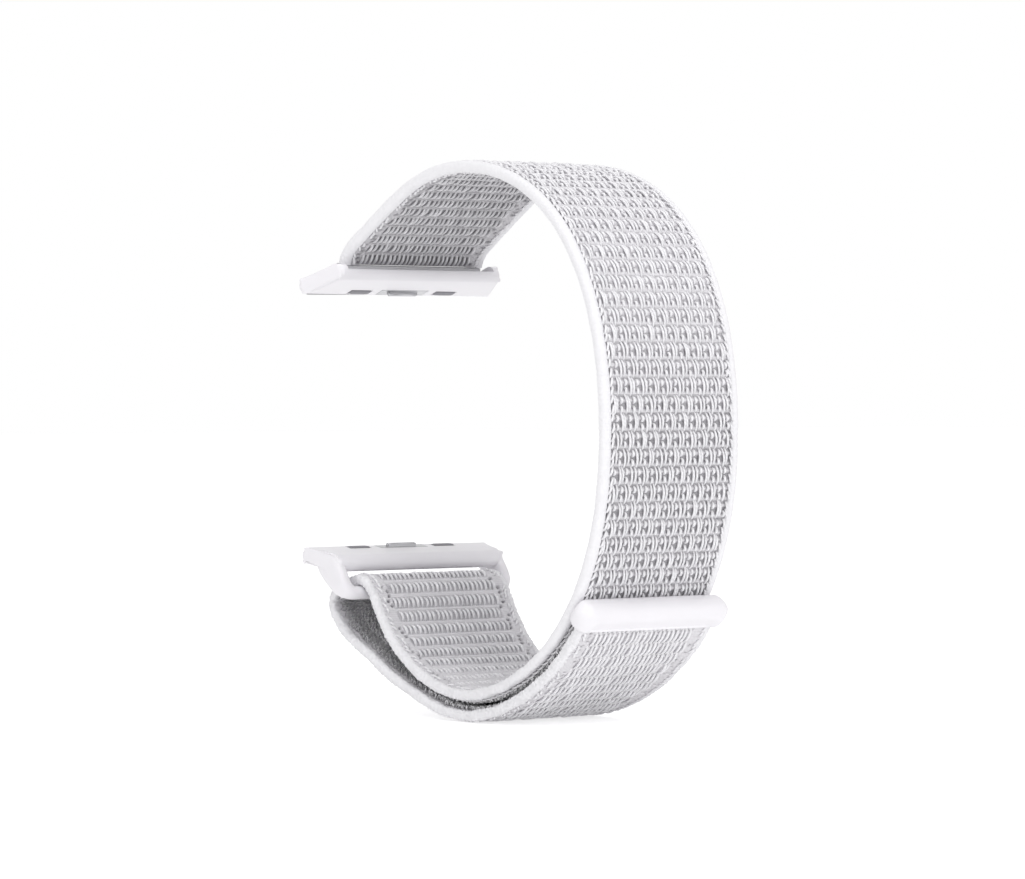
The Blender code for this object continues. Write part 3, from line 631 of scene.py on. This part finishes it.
def pressed(face, along):
    """Share of the floats' height that is left where the cloth is pressed or stretched flat."""
    if face == "loop":
        return 1 - 0.55 * bump(along, *LOOP_FLAT) - 0.5 * smooth_step(*LUG_END, along)
    return 1 - 0.85 * bump(along, *WRIST_FLAT_LOW) - 0.60 * bump(along, *WRIST_FLAT_TOP)


def ridges(place, shapes):
    """Height of several hills together."""
    return sum(height * bump(place, middle, reach) for height, middle, reach in shapes)


def ground_height(face, across, along, weave):
    """Height of the ground cloth over its own lowest level, as a share of the floats' arch."""
    flat = 1 - pressed(face, along)
    if face == "loop":
        cell = (across / weave.loop_cell - np.floor(along / weave.loop_row) * LOOP_DRIFT) % 1.0
        wefts = ridges(along / weave.loop_row % 1.0, LOOP_WEFTS)
        return LOOP_LEVEL + wefts - ridges(cell, LOOP_SLITS) + LOOP_FLAT_RISE * flat
    weft = ridges(along / weave.wrist_row % 1.0, WRIST_WEFTS)
    warps = WRIST_WARP * np.cos(math.tau * across / (weave.wrist_column / 2))
    return WRIST_LEVEL + weft + warps + WRIST_FLAT_RISE * flat


def wrist_border(across, along, inner, weave):
    """Border of the wrist face beside each selvedge: its share, its height and the holes in it."""
    distance = inner - np.abs(across)
    grain = (np.cos(math.tau * along / (0.58 * MM) + 2 * np.sin(along / (1.3 * MM)))
             * np.cos(math.tau * across / (0.66 * MM) + 2 * np.sin(along / (0.9 * MM))))
    step = weave.wrist_row / 3
    number, edge = np.floor(along / step), np.sign(across)
    middle = (1.10 + 0.45 * uneven(number, edge, 41)) * MM
    hole = (bump(distance, middle, 0.50 * MM) * bump(along / step % 1.0, 0.5, 0.50)
            * smooth_step(-0.8, -0.1, uneven(number, edge, 42)))
    return smooth_step(*BORDER, distance), 0.62 + 0.22 * grain - 1.4 * hole, hole


def add_ground(stretch, start, end, face, material, weave):
    """Ground cloth under the yarns of one face, closed along the band's middle."""
    side = 1 if face == "loop" else -1
    rows = max(2, round((end - start) / weave.ground_step))
    columns = round(2 * band.half_core / weave.ground_step)
    along = np.linspace(start, end, rows + 1)[:, None] * np.ones(columns + 1)
    share = np.linspace(-1.0, 1.0, columns + 1)[None, :] * np.ones((rows + 1, 1))
    inner = band.read(band.inner, along)
    across = share * (inner + UNDER_EDGE)
    height = ground_height(face, across, along, weave)
    if face == "wrist":
        border, level, hole = wrist_border(across, along, inner, weave)
        height = height * (1 - border) + border * level
        # Painted shade and light: the wrist face's ground is painted darker where it lies low, in the border's
        # holes and along the upper run. It is painted paler on the lower run and past the bar.
        lower, turned = smooth_step(*PAINTED_LIGHT_LOWER, along), smooth_step(*PAINTED_LIGHT_TURN, along)
        cover = ((0.56 + 0.29 * lower) * height / FULL_HEIGHT + 0.55 * lower * (1 - hole * border)
                 + 0.4 * turned)
    else:
        # Painted shade and light: the loop face's ground is painted darker where it lies low and paler on the top
        # stretch. On the tail and tip it takes its full colour.
        cover = height / FULL_HEIGHT - 0.10 + 0.45 * smooth_step(*PAINTED_LIGHT_TOP, along) + (stretch != "main")
    out = SURFACE - weave.arch * (1 - height)
    points = band.place(across, along, side * out).reshape(-1, 3)
    back = side * np.full((rows + 1, 2), BACK)
    ends = band.place(across[:, [0, -1]], along[:, [0, -1]], back).reshape(-1, 3)
    count = len(points)
    wide = columns + 1
    faces = grid_faces(rows + 1, wide).tolist()
    for i in range(rows):
        left, right = count + 2 * i, count + 2 * i + 1
        first, last = i * wide, i * wide + columns
        faces.append((first, first + wide, left + 2, left))
        faces.append((last + wide, last, right, right + 2))
        faces.append((left, left + 2, right + 2, right))
    faces.append((count, count + 1) + tuple(range(columns, -1, -1)))
    faces.append((count + 2 * rows + 1, count + 2 * rows) + tuple(range(rows * wide, rows * wide + wide)))
    cover = np.concatenate([np.clip(cover, 0.0, 1.0).ravel(), np.zeros(len(ends))])
    uv = np.concatenate([np.stack([across, along], axis=-1).reshape(-1, 2), np.zeros((len(ends), 2))])
    return add_piece(f"{stretch}_{face}_ground", np.concatenate([points, ends]), faces, material, uv, cover,
                     flip=side < 0)


def lattice(start, end, row, cell, half, drift):
    """Row number, column number, place across and row start of every cell that fits."""
    rows = np.arange(math.floor(start / row), math.floor(end / row))
    columns = np.arange(-math.ceil(half / cell) - 2, math.ceil(half / cell) + 3)
    number, column = [part.ravel() for part in np.meshgrid(rows, columns, indexing="ij")]
    return number, column, (column + number * drift % 1.0) * cell, number * row


def arches(across, along, long, power=0.8, sweep=0.0, segments=8):
    """Paths of floats that leave the ground cloth, arch over it and dive back."""
    share = np.linspace(0.0, 1.0, segments + 1)[None, :]
    runs = along[:, None] + long[:, None] * share
    arch = np.sin(math.pi * share) ** power
    return across[:, None] + sweep * (1 - share) ** 2, runs, arch


def inside(margin, across, along, *parts):
    """Only the yarns that lie between the two selvedges, with a margin at both."""
    keep = np.abs(across) < band.read(band.inner, along) - margin
    return [part[keep] for part in (across, along, *parts)]


def raised(face, along, arch, lift, weave):
    """Height of a float at each station: buried at both ends, at its lift in the middle."""
    base = SURFACE - weave.arch
    top = base + lift[:, None] * weave.arch * pressed(face, along)
    bottom = base - BURIED * weave.arch
    return bottom + (top - bottom) * arch


def add_loop_yarns(name, start, end, material, weave):
    """Two floats beside each opening of the loop face, and two knots of weft in the opening."""
    row, cell = weave.loop_row, weave.loop_cell
    number, column, middle, begin = lattice(start, end, row, cell, band.half_core, LOOP_DRIFT)
    parts = []
    for salt, (offset, first, long, rise, size) in enumerate(LOOP_FLOATS):
        across = middle + cell * (offset - 0.02 + 0.04 * uneven(number, column, salt))
        along = begin + row * (first + 0.05 * uneven(number, column, salt + 2))
        lift = rise * (1 + 0.14 * uneven(number, column, salt + 4))
        radius = weave.yarn_radius * size * (1 + 0.12 * uneven(number, column, salt + 6))
        parts.append((across, along, np.full_like(along, long * row), lift, radius,
                      np.full_like(along, 0.65), np.full_like(along, 1.0),
                      cell * (0.09 + 0.06 * uneven(number, column, salt + 16))))
    for salt, (first, rise) in enumerate(LOOP_KNOTS):
        across = middle + cell * (-0.115 + 0.05 * uneven(number, column, salt + 8))
        along = begin + row * (first + 0.03 * uneven(number, column, salt + 10))
        lift = rise * (1 + 0.18 * uneven(number, column, salt + 12))
        parts.append((across, along, np.full_like(along, 0.37 * row), lift,
                      np.full_like(along, weave.yarn_radius), np.full_like(along, 0.6),
                      np.full_like(along, 0.98), np.zeros_like(along)))
    joined = [np.concatenate(part) for part in zip(*parts)]
    across, along, long, lift, radius, power, tone, sweep = inside(LOOP_MARGIN, *joined)
    across, along, arch = arches(across, along, long, power[:, None], sweep[:, None])
    out = raised("loop", along, arch, lift, weave)
    # Painted shade: each float is painted darker towards its ends, where it dives into the cloth.
    cover = tone[:, None] * (0.8 + 0.2 * arch)
    taper = radius[:, None] * (0.7 + 0.3 * arch)
    return add_tubes(name, (across, along, out), taper, 1, material, cover=cover)


def add_wrist_yarns(stretch, start, end, material, weave):
    """Close rows of short floats on the wrist face, with a slit between each two."""
    row, cell = weave.wrist_row, weave.wrist_column
    number, column, across, begin = lattice(start, end, row, cell, band.half_core, 0.5)
    across = across + cell * 0.10 * uneven(number, column, 1)
    along = begin + row * (0.02 + 0.03 * uneven(number, column, 2))
    lift = 0.98 * (1 + 0.16 * uneven(number, column, 3)) - 0.45 * (uneven(number, column, 4) > 0.84)
    reach = 0.98 - 0.24 * smooth_step(*SHORT_FLOATS, along) + 0.56 * smooth_step(*LONG_FLOATS, along)
    long = row * (reach + 0.04 * uneven(number, column, 5))
    radius = weave.yarn_radius * (0.98 + 0.14 * uneven(number, column, 6))
    # Painted shade and light: the yarns are painted darker along the upper run, which lies in shade, and paler on
    # the lower run and past the bar. The random part is their own tone.
    tone = (0.71 + 0.24 * smooth_step(*PAINTED_LIGHT_LOWER, along) + 0.08 * smooth_step(*PAINTED_LIGHT_TURN, along)
            + 0.10 * uneven(number, column, 7))
    across, along, long, lift, radius, tone = inside(WRIST_MARGIN, across, along, long, lift, radius, tone)
    across, along, arch = arches(across, along, long)
    out = raised("wrist", along, arch, lift, weave)
    taper = radius[:, None] * (0.7 + 0.3 * arch)
    # Painted shade: each float is painted darker towards its ends, where it dives into the cloth.
    return add_tubes(f"{stretch}_wrist_yarns", (across, along, out), taper, -1, material, wide=1.2,
                     cover=tone[:, None] * (0.7 + 0.3 * arch))


def add_stitches(stretch, start, end, material, weave, settings):
    """Yarn that binds the ground cloth to both selvedges, two or at most three stitches to a row."""
    pieces = []
    faces = (("loop", 1, weave.loop_row / 2, -1.0, 0.0), ("wrist", -1, weave.wrist_row / 3, -0.5, 0.30))
    for face, side, pitch, left_out, slant in faces:
        if face == "loop" and stretch != "main":
            continue
        number = np.arange(math.ceil(start / pitch), math.floor(end / pitch))
        share = np.linspace(0.0, 1.0, 7)[None, :]
        paths = []
        for edge in (-1, 1):
            kept = number[uneven(number, edge, 21) > left_out]
            jitter, tilt = uneven(kept, edge, 20)[:, None], uneven(kept, edge, 22)[:, None]
            along = kept[:, None] * pitch + pitch * (1.05 * share + 0.14 * jitter)
            reach = 0.36 + slant * tilt
            across = edge * (band.read(band.inner, along) - 0.28 * MM + (reach * share - 0.08 * jitter) * MM)
            out = SURFACE - 0.16 * MM + 0.18 * MM * np.sin(math.pi * share) ** 0.7
            paths.append((across, along, np.broadcast_to(out, along.shape)))
        across, along, out = [np.concatenate(part) for part in zip(*paths)]
        # Painted shade: each stitch is painted darker at its ends, where it sinks into the cloth.
        pieces.append(add_tubes(f"{stretch}_{face}_stitches", (across, along, out), settings.stitch, side,
                                material, wide=1.25, cover=0.75 + 0.25 * np.sin(math.pi * share)))
    return pieces


def add_pile(name, start, end, material, pile, clear):
    """Loops of pile on the loop face, each a small arch. None stands in the clear middle."""
    row = pile.spacing
    number, column, across, begin = lattice(start, end, row, row, band.half_core, 0.5)
    across = across + 0.25 * row * uneven(number, column, 30)
    along = begin + 0.25 * row * uneven(number, column, 31)
    across, along, number, column = inside(0.15 * MM, across, along, number, column)
    keep = np.abs(across) > clear
    number, column, across, along = [part[keep] for part in (number, column, across, along)]
    share = np.linspace(0.0, 1.0, 7)[None, :]
    turn = math.pi * 0.5 * (uneven(number, column, 32) + 1)[:, None]
    reach = row * 0.55
    height = pile.height * (0.8 + 0.2 * uneven(number, column, 33))[:, None]
    across = across[:, None] + reach * np.cos(turn) * (share - 0.5)
    along = along[:, None] + reach * (0.35 + np.abs(np.sin(turn))) * (share - 0.5)
    out = SURFACE - 0.2 * MM + (height + 0.2 * MM) * np.sin(math.pi * share) ** 0.6
    # Painted shade: each loop's value is darker at its foot. The pile's materials do not read it.
    return add_tubes(name, (across, along, out), 0.10 * MM, 1, material, sides=4,
                     cover=0.35 + 0.65 * np.sin(math.pi * share))


def add_edge(name, start, end, side, material, settings):
    """Rolled selvedge along one side of one stretch: ribbed, and fuzzy where it is like terry cloth."""
    sides = 20
    squareness = 2.3
    rows = max(2, round((end - start) / (0.15 * MM)))
    along = np.linspace(start, end, rows + 1)
    c, s = circle(sides)
    ring_x = np.sign(c) * np.abs(c) ** (2 / squareness)
    ring_out = np.sign(s) * np.abs(s) ** (2 / squareness)
    terry = smooth_step(*TERRY, along)
    wave = 0.5 + 0.5 * np.cos(math.tau * along / settings.rib + 0.8 * np.sin(along / (1.9 * MM)))
    lumps = 0.012 * MM * (np.sin(along / (1.7 * MM)) + np.sin(along / (0.71 * MM) + 1.3))
    pinch = ((1 + terry) * (settings.rib_depth * (1 - wave) - lumps))[:, None]
    turn = math.tau * np.arange(sides) / sides
    fuzz = (np.sin(5 * turn + 9 * np.sin(along[:, None] / (0.9 * MM)))
            * np.sin(along[:, None] / (0.115 * MM) + 2 * turn))
    pinch = pinch * (1 + 0.4 * np.sin(3 * turn + along[:, None] / (0.6 * MM)))
    pinch = pinch + 0.12 * MM * terry[:, None] * (1 + fuzz)
    inner = band.read(band.inner, along) - 0.12 * MM
    outer = band.read(band.outer, along)
    middle, half = (inner + outer) / 2, (outer - inner) / 2
    across = side * (middle[:, None] + ring_x * (half[:, None] - pinch))
    out = ring_out * (band.half_thickness + 0.02 * MM - pinch)
    points = band.place(across, along[:, None] * np.ones(sides), out).reshape(-1, 3)
    uv = np.stack([np.arange(sides)[None, :] * 0.25 * MM * np.ones((rows + 1, 1)),
                   along[:, None] * np.ones(sides)], axis=-1).reshape(-1, 2)
    return add_piece(name, points, tube_faces(rows + 1, sides), material, uv, flip=side > 0)


def stretches():
    """Name, start, end, bodies and bend of each stretch of the band."""
    middle = (band.tail_start + band.tip_start) / 2
    before = band.tail_start - 1.6 * BEND_REACH
    return (
        ("main", 0.0, before, ("band",), None),
        ("tail", before, middle, ("band", "tail"), band.tail_start),
        ("tip", middle, band.length, ("tail", "tip"), band.tip_start),
    )


def attach(item, bodies, bend):
    """The piece rides on its body. A piece between two bodies stays where it is, with its place baked into its
    mesh.
    """
    if len(bodies) == 1:
        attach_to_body(item, bodies[0])
    else:
        vector_at(bend - BEND_REACH)
        vector_at(bend + BEND_REACH)
        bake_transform(item)


# Operators

class STRAP_OT_weave(bpy.types.Operator):
    """Weave both faces of the band: ground cloth, floating yarns and pile"""
    bl_idname = "strap.weave"
    bl_label = "Weave"

    def execute(self, context):
        weave, pile = context.scene.strap_weave, context.scene.strap_pile
        cloth = woven_nylon("woven_nylon_ground", weave.ground, weave.gap, 0.30, math.radians(90))
        yarn = woven_nylon("woven_nylon_float", weave.yarn, weave.gap, 0.42, math.radians(48))
        loops = drawn_filament("nylon_pile_loop", pile.loops, 0.6)
        for stretch, start, end, bodies, bend in stretches():
            items = [add_ground(stretch, start, end, face, cloth, weave) for face in ("loop", "wrist")]
            items.append(add_wrist_yarns(stretch, start, end, yarn, weave))
            if stretch == "main":
                halfway = (start + end) / 2
                items.append(add_loop_yarns("main_upper_loop_yarns", start, halfway, yarn, weave))
                items.append(add_loop_yarns("main_lower_loop_yarns", halfway, end, yarn, weave))
                items.append(add_pile("main_pile", *MAIN_PILE, loops, pile, PILE_CLEAR))
            else:
                items.append(add_pile(stretch + "_pile", start, end, loops, pile, 0.0))
            for item in items:
                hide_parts(stretch + "_webbing")
                attach(item, bodies, bend)
        return {"FINISHED"}


class STRAP_OT_selvedges(bpy.types.Operator):
    """Roll the two selvedges along the band and bind them on"""
    bl_idname = "strap.selvedges"
    bl_label = "Selvedges"

    def execute(self, context):
        settings, weave = context.scene.strap_edges, context.scene.strap_weave
        rolled = knitted_selvedge("rolled_nylon_selvedge", settings.fill)
        binding = woven_nylon("binding_nylon_yarn", weave.yarn, weave.gap, 0.42, math.radians(48))
        for stretch, start, end, bodies, bend in stretches():
            for side, word in ((-1, "left"), (1, "right")):
                item = add_edge(f"{stretch}_{word}_selvedge", start, end, side, rolled, settings)
                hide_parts(f"{stretch}_{word}_edge")
                attach(item, bodies, bend)
            bound = add_stitches(stretch, start, end, binding, weave, settings)
            if stretch == "tail":
                bound.append(add_pile("tail_terry", start, end, rolled, context.scene.strap_pile,
                                      band.half_core - TERRY_WIDTH))
            for item in bound:
                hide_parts(stretch + "_left_edge", stretch + "_right_edge")
                attach(item, bodies, bend)
        return {"FINISHED"}


class STRAP_OT_end_loop(bpy.types.Operator):
    """Weave the eye of the band round the pin of the upper lug"""
    bl_idname = "strap.end_loop"
    bl_label = "End loop"

    def execute(self, context):
        weave = context.scene.strap_weave
        low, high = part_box("end_loop")
        rib = weave.wrist_column / 2
        axis = joint("band_swing")
        bm = bmesh.new()
        bm.from_mesh(frame["nodes"]["end_loop"].data)
        bmesh.ops.remove_doubles(bm, verts=bm.verts, dist=WELD)
        for x in np.arange(low.x + rib / 2, high.x, rib / 2):
            bmesh.ops.bisect_plane(bm, geom=bm.verts[:] + bm.edges[:] + bm.faces[:],
                                   plane_co=(float(x), 0, 0), plane_no=(1, 0, 0))
        for vert in bm.verts:
            radial = Vector((0, vert.co.y - axis.y, vert.co.z - axis.z))
            if radial.length > 0.7 * MM:
                vert.co -= radial.normalized() * 0.05 * MM * (1 + math.cos(math.tau * vert.co.x / rib)) / 2
        layer = bm.loops.layers.uv.new("cloth")
        for face in bm.faces:
            for corner in face.loops:
                around = math.atan2(corner.vert.co.z - axis.z, corner.vert.co.y - axis.y)
                corner[layer].uv = (corner.vert.co.x / MM, around * 0.87)
        mesh = bpy.data.meshes.new("end_loop_cloth")
        bm.to_mesh(mesh)
        bm.free()
        attribute = mesh.attributes.new("cover", "FLOAT", "POINT")
        values = [0.9 + 0.1 * math.cos(math.tau * vert.co.x / rib) for vert in mesh.vertices]
        attribute.data.foreach_set("value", np.array(values, np.float32))
        mesh.shade_smooth()
        mesh.set_sharp_from_angle(angle=math.radians(50))
        mesh.materials.append(woven_nylon("woven_nylon_eye", weave.yarn, weave.gap, 0.40, math.radians(90)))
        item = bpy.data.objects.new("end_loop_cloth", mesh)
        context.scene.collection.objects.link(item)
        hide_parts("end_loop")
        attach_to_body(item, "band")
        return {"FINISHED"}


class STRAP_OT_hooks(bpy.types.Operator):
    """Grow the hooks of the hook tape on the tip"""
    bl_idname = "strap.hooks"
    bl_label = "Hook tape"

    def execute(self, context):
        settings = context.scene.strap_pile
        low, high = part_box("hook_patch")
        ends = sorted((band.nearest(low.y, low.z), band.nearest(high.y, high.z)))
        inset, step = 0.3 * MM, 0.5 * MM
        start, end, half = ends[0] + inset, ends[1] - inset, high.x
        tape = drawn_filament("moulded_nylon_hooks", settings.hooks, 0.45)
        base = SURFACE + 0.13 * MM
        rows, columns = round((end - start) / step), round(2 * half / step)
        along = np.linspace(start, end, rows + 1)[:, None] * np.ones(columns + 1)
        across = np.linspace(-half, half, columns + 1)[None, :] * np.ones((rows + 1, 1))
        sheet = 0.16 * MM + 0.02 * MM * np.cos(math.tau * across / settings.hook_spacing)
        top = band.place(across, along, base + sheet).reshape(-1, 3)
        under = band.place(across, along, base).reshape(-1, 3)
        count, wide = len(top), columns + 1
        quads = grid_faces(rows + 1, wide)
        faces = quads.tolist() + (quads[:, ::-1] + count).tolist()
        for i in range(rows):
            first, last = i * wide, i * wide + columns
            faces.append((first, first + wide, first + wide + count, first + count))
            faces.append((last + wide, last, last + count, last + wide + count))
        for j in range(columns):
            first, last = j, rows * wide + j
            faces.append((first + 1, first, first + count, first + 1 + count))
            faces.append((last, last + 1, last + 1 + count, last + count))
        uv = np.concatenate([np.stack([across, along], axis=-1).reshape(-1, 2)] * 2)
        plate = add_piece("hook_tape_sheet", np.concatenate([top, under]), faces, tape, uv)

        pitch = settings.hook_spacing
        number, column, across, begin = lattice(start + pitch, end, pitch, pitch, half, 0.5)
        keep = np.abs(across) < half - 0.4 * MM
        number, across, begin = [part[keep][:, None] for part in (number, across, begin)]
        share = np.linspace(0.0, 1.0, 8)[None, :]
        stem_share = 0.35
        turn = math.pi * 1.15 * np.clip((share - stem_share) / (1 - stem_share), 0.0, 1.0)
        bend = 0.11 * MM
        facing = np.where(number % 2 == 0, 1.0, -1.0)
        along = begin + pitch * 0.5 + facing * (bend * (1 - np.cos(turn)) + 0.01 * MM * share)
        stem = (settings.hook - bend) * np.clip(share / stem_share, 0.0, 1.0)
        hooks = add_tubes("hook_tape_hooks", (across, along, base + 0.10 * MM + stem + bend * np.sin(turn)),
                          0.05 * MM, 1, tape, sides=4)
        for item in (plate, hooks):
            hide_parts("hook_patch")
            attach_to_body(item, "tip")
        return {"FINISHED"}


def tab_profile():
    """Outline of the pull tab in Y and Z, its middle, and where its round ends start and stop."""
    points = np.array([vert.co for vert in frame["nodes"]["pull_tab"].data.vertices])
    places = np.unique(np.round(points[:, 0], 6))
    places = places[places > 0]
    rings = [np.unique(np.round(points[np.abs(points[:, 0] - x) < WELD, 1:], 7), axis=0) for x in places]
    near, far = [ring for ring in rings if len(ring) == len(rings[-1])][-2:]
    spread = [np.linalg.norm(ring - ring.mean(axis=0), axis=1).max() for ring in (near, far)]
    share = spread[1] / spread[0]
    middle = (far.mean(axis=0) - share * near.mean(axis=0)) / (1 - share)
    size = (np.linalg.norm(rings[0] - middle, axis=1).max() / np.linalg.norm(near - middle, axis=1).max())
    turns = np.arctan2(near[:, 1] - near[:, 1].mean(), near[:, 0] - near[:, 0].mean())
    return middle + (near[np.argsort(turns)] - middle) * size, middle, float(places[0]), float(places[-1])


# Size of the pull tab's last CAD ring, as a share of its full outline
LAST_RING_SHARE = 0.35


class STRAP_OT_tab(bpy.types.Operator):
    """Mould the pull tab, with its soft ends and thumb groove"""
    bl_idname = "strap.tab"
    bl_label = "Pull tab"

    def execute(self, context):
        settings = context.scene.strap_mouldings
        outline, middle, shoulder, end = tab_profile()
        closed = np.concatenate([outline[-3:], outline, outline[:3]])
        chords = np.concatenate(([0.0], np.cumsum(np.linalg.norm(np.diff(closed, axis=0), axis=1))))
        sides = 96
        at = np.linspace(chords[3], chords[3 + len(outline)], sides, endpoint=False)
        profile = spline(chords, closed, at)
        reach = (end - shoulder) / math.sqrt(1 - LAST_RING_SHARE ** 2)
        turns = np.linspace(math.radians(88), 0.0, 15)
        tips = shoulder + reach * np.sin(turns)
        between = np.linspace(shoulder, -shoulder, 61)[1:-1]
        across = np.concatenate([tips, between, -tips[::-1]])
        shares = np.concatenate([np.cos(turns), np.ones(len(between)), np.cos(turns)[::-1]])
        _, slope, normal = band.frames(np.array(band.nearest(*middle)))
        rings = middle + (profile - middle)[None] * shares[:, None, None]
        run, rise = (rings - middle) @ slope, (rings - middle) @ -normal
        high = np.abs(run).max()
        window = (smooth_step(-0.93 * high, -0.70 * high, run)
                  * (1 - smooth_step(-0.50 * high, 0.35 * high, run))
                  * smooth_step(0.3, 0.7, rise / rise.max()))
        window = window * smooth_step(1.6 * MM, 3.0 * MM, end - np.abs(across))[:, None]
        rings = rings + (settings.groove * window)[..., None] * normal
        places = np.broadcast_to(across[:, None, None], (*rings.shape[:2], 1))
        points = np.concatenate([places, rings], axis=-1)
        item = add_piece("pull_tab_moulding", points.reshape(-1, 3), tube_faces(len(across), sides),
                         moulded_nylon("moulded_nylon_tab", settings.tab, 0.42, 0.08))
        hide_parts("pull_tab")
        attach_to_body(item, "tip")
        return {"FINISHED"}


class STRAP_OT_mouldings(bpy.types.Operator):
    """Finish the lugs, latches and pads"""
    bl_idname = "strap.mouldings"
    bl_label = "Lugs and latches"

    def execute(self, context):
        settings = context.scene.strap_mouldings
        lug = moulded_nylon("moulded_nylon_lug", settings.lug, 0.33, 0.08)
        steel = brushed_steel("brushed_stainless_steel", settings.steel)
        rubber = silicone_rubber("silicone_rubber_pad", settings.pad)
        finishes = {"lug_moulding": lug, "stainless_steel": steel, "silicone_pad": rubber}
        slots = {item["node"]: item["material_slot"] for item in frame["record"]["subparts"]}
        for node, item in frame["nodes"].items():
            if slots[node] in finishes:
                item.data.materials.clear()
                item.data.materials.append(finishes[slots[node]])
                item.data.shade_smooth()
                weld = item.modifiers.new("weld", "WELD")
                weld.merge_threshold = WELD
                if slots[node] == "lug_moulding":
                    bevel = item.modifiers.new("soft_edges", "BEVEL")
                    bevel.width = settings.edge
                    bevel.segments = 3
                    bevel.limit_method = "ANGLE"
                    bevel.angle_limit = math.radians(40)
                normals = item.modifiers.new("normals", "WEIGHTED_NORMAL")
                normals.keep_sharp = True
        return {"FINISHED"}


# Half the width of the floor, and the width of each lamp
FLOOR_HALF = 3.0
LAMP_SIZE = 0.8
# Places of the lamps, counted from the middle of the strap
LAMP_PLACES = {"top": (0.10, 0.15, 1.00), "front": (0.15, 0.95, 0.06), "side": (0.92, 0.10, 0.55)}


class STRAP_OT_stage(bpy.types.Operator):
    """Set up the floor, the lamps, the world and the camera"""
    bl_idname = "strap.stage"
    bl_label = "Stage"

    def execute(self, context):
        scene = context.scene
        settings = scene.strap_studio
        low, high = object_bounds()
        middle = (low + high) / 2
        mesh = bpy.data.meshes.new("floor")
        corners = ((-1, -1), (1, -1), (1, 1), (-1, 1))
        mesh.from_pydata([(x * FLOOR_HALF, y * FLOOR_HALF, 0) for x, y in corners], [], [(0, 1, 2, 3)])
        mesh.materials.append(backdrop_paper("matt_backdrop_paper"))
        floor = bpy.data.objects.new("floor", mesh)
        floor.location = (middle.x, middle.y, low.z)
        scene.collection.objects.link(floor)
        floor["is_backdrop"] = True

        for name, place in LAMP_PLACES.items():
            data = bpy.data.lights.new(name, "AREA")
            data.energy = getattr(settings, name)
            data.size = LAMP_SIZE
            lamp = bpy.data.objects.new(name, data)
            lamp.location = middle + Vector(place)
            lamp.rotation_euler = (-Vector(place)).to_track_quat("-Z", "Y").to_euler()
            scene.collection.objects.link(lamp)

        world = bpy.data.worlds.new("studio")
        world.use_nodes = True
        tree = world.node_tree
        set_inputs(tree, tree.nodes["Background"],
                   {"Color": WHITE, "Strength": strength_by_ray(tree, settings.ambient, 1.0)})
        scene.world = world

        data = bpy.data.cameras.new("camera")
        data.lens = settings.lens
        data.sensor_width = 36.0
        data.clip_start = 0.01
        camera = bpy.data.objects.new("camera", data)
        camera.location = settings.camera
        turn, pitch = settings.heading, settings.pitch
        level = math.cos(pitch)
        ahead = Vector((-math.sin(turn) * level, -math.cos(turn) * level, -math.sin(pitch)))
        camera.rotation_euler = ahead.to_track_quat("-Z", "Y").to_euler()
        scene.collection.objects.link(camera)
        scene.camera = camera
        scene.view_settings.view_transform = "Standard"
        return {"FINISHED"}


class STRAP_PT_panel(bpy.types.Panel):
    """Steps and settings of the strap"""
    bl_idname = "STRAP_PT_panel"
    bl_label = "Wrist Strap"
    bl_space_type = "VIEW_3D"
    bl_region_type = "UI"
    bl_category = "Strap"

    def draw(self, context):
        for step in STEPS:
            self.layout.operator(step.bl_idname)
        for group, settings in SETTINGS.items():
            box = self.layout.box()
            for name in settings.__annotations__:
                box.prop(getattr(context.scene, group), name)


SETTINGS = {
    "strap_weave": StrapWeave,
    "strap_edges": StrapEdges,
    "strap_pile": StrapPile,
    "strap_mouldings": StrapMouldings,
    "strap_studio": StrapStudio,
}
STEPS = (STRAP_OT_weave, STRAP_OT_selvedges, STRAP_OT_end_loop, STRAP_OT_hooks, STRAP_OT_tab,
         STRAP_OT_mouldings, STRAP_OT_stage)


def register():
    """Register the classes and hang the settings on the scene."""
    for item in (*SETTINGS.values(), *STEPS, STRAP_PT_panel):
        bpy.utils.register_class(item)
    for name, settings in SETTINGS.items():
        setattr(bpy.types.Scene, name, bpy.props.PointerProperty(type=settings))


def unregister():
    """Take the settings off the scene and unregister the classes."""
    for name in SETTINGS:
        delattr(bpy.types.Scene, name)
    for item in (STRAP_PT_panel, *reversed(STEPS), *SETTINGS.values()):
        bpy.utils.unregister_class(item)


def main():
    """Build the dressed strap and its stage."""
    register()
    for step in STEPS:
        group, name = step.bl_idname.split(".")
        getattr(getattr(bpy.ops, group), name)()


if __name__ == "__main__":
    main()
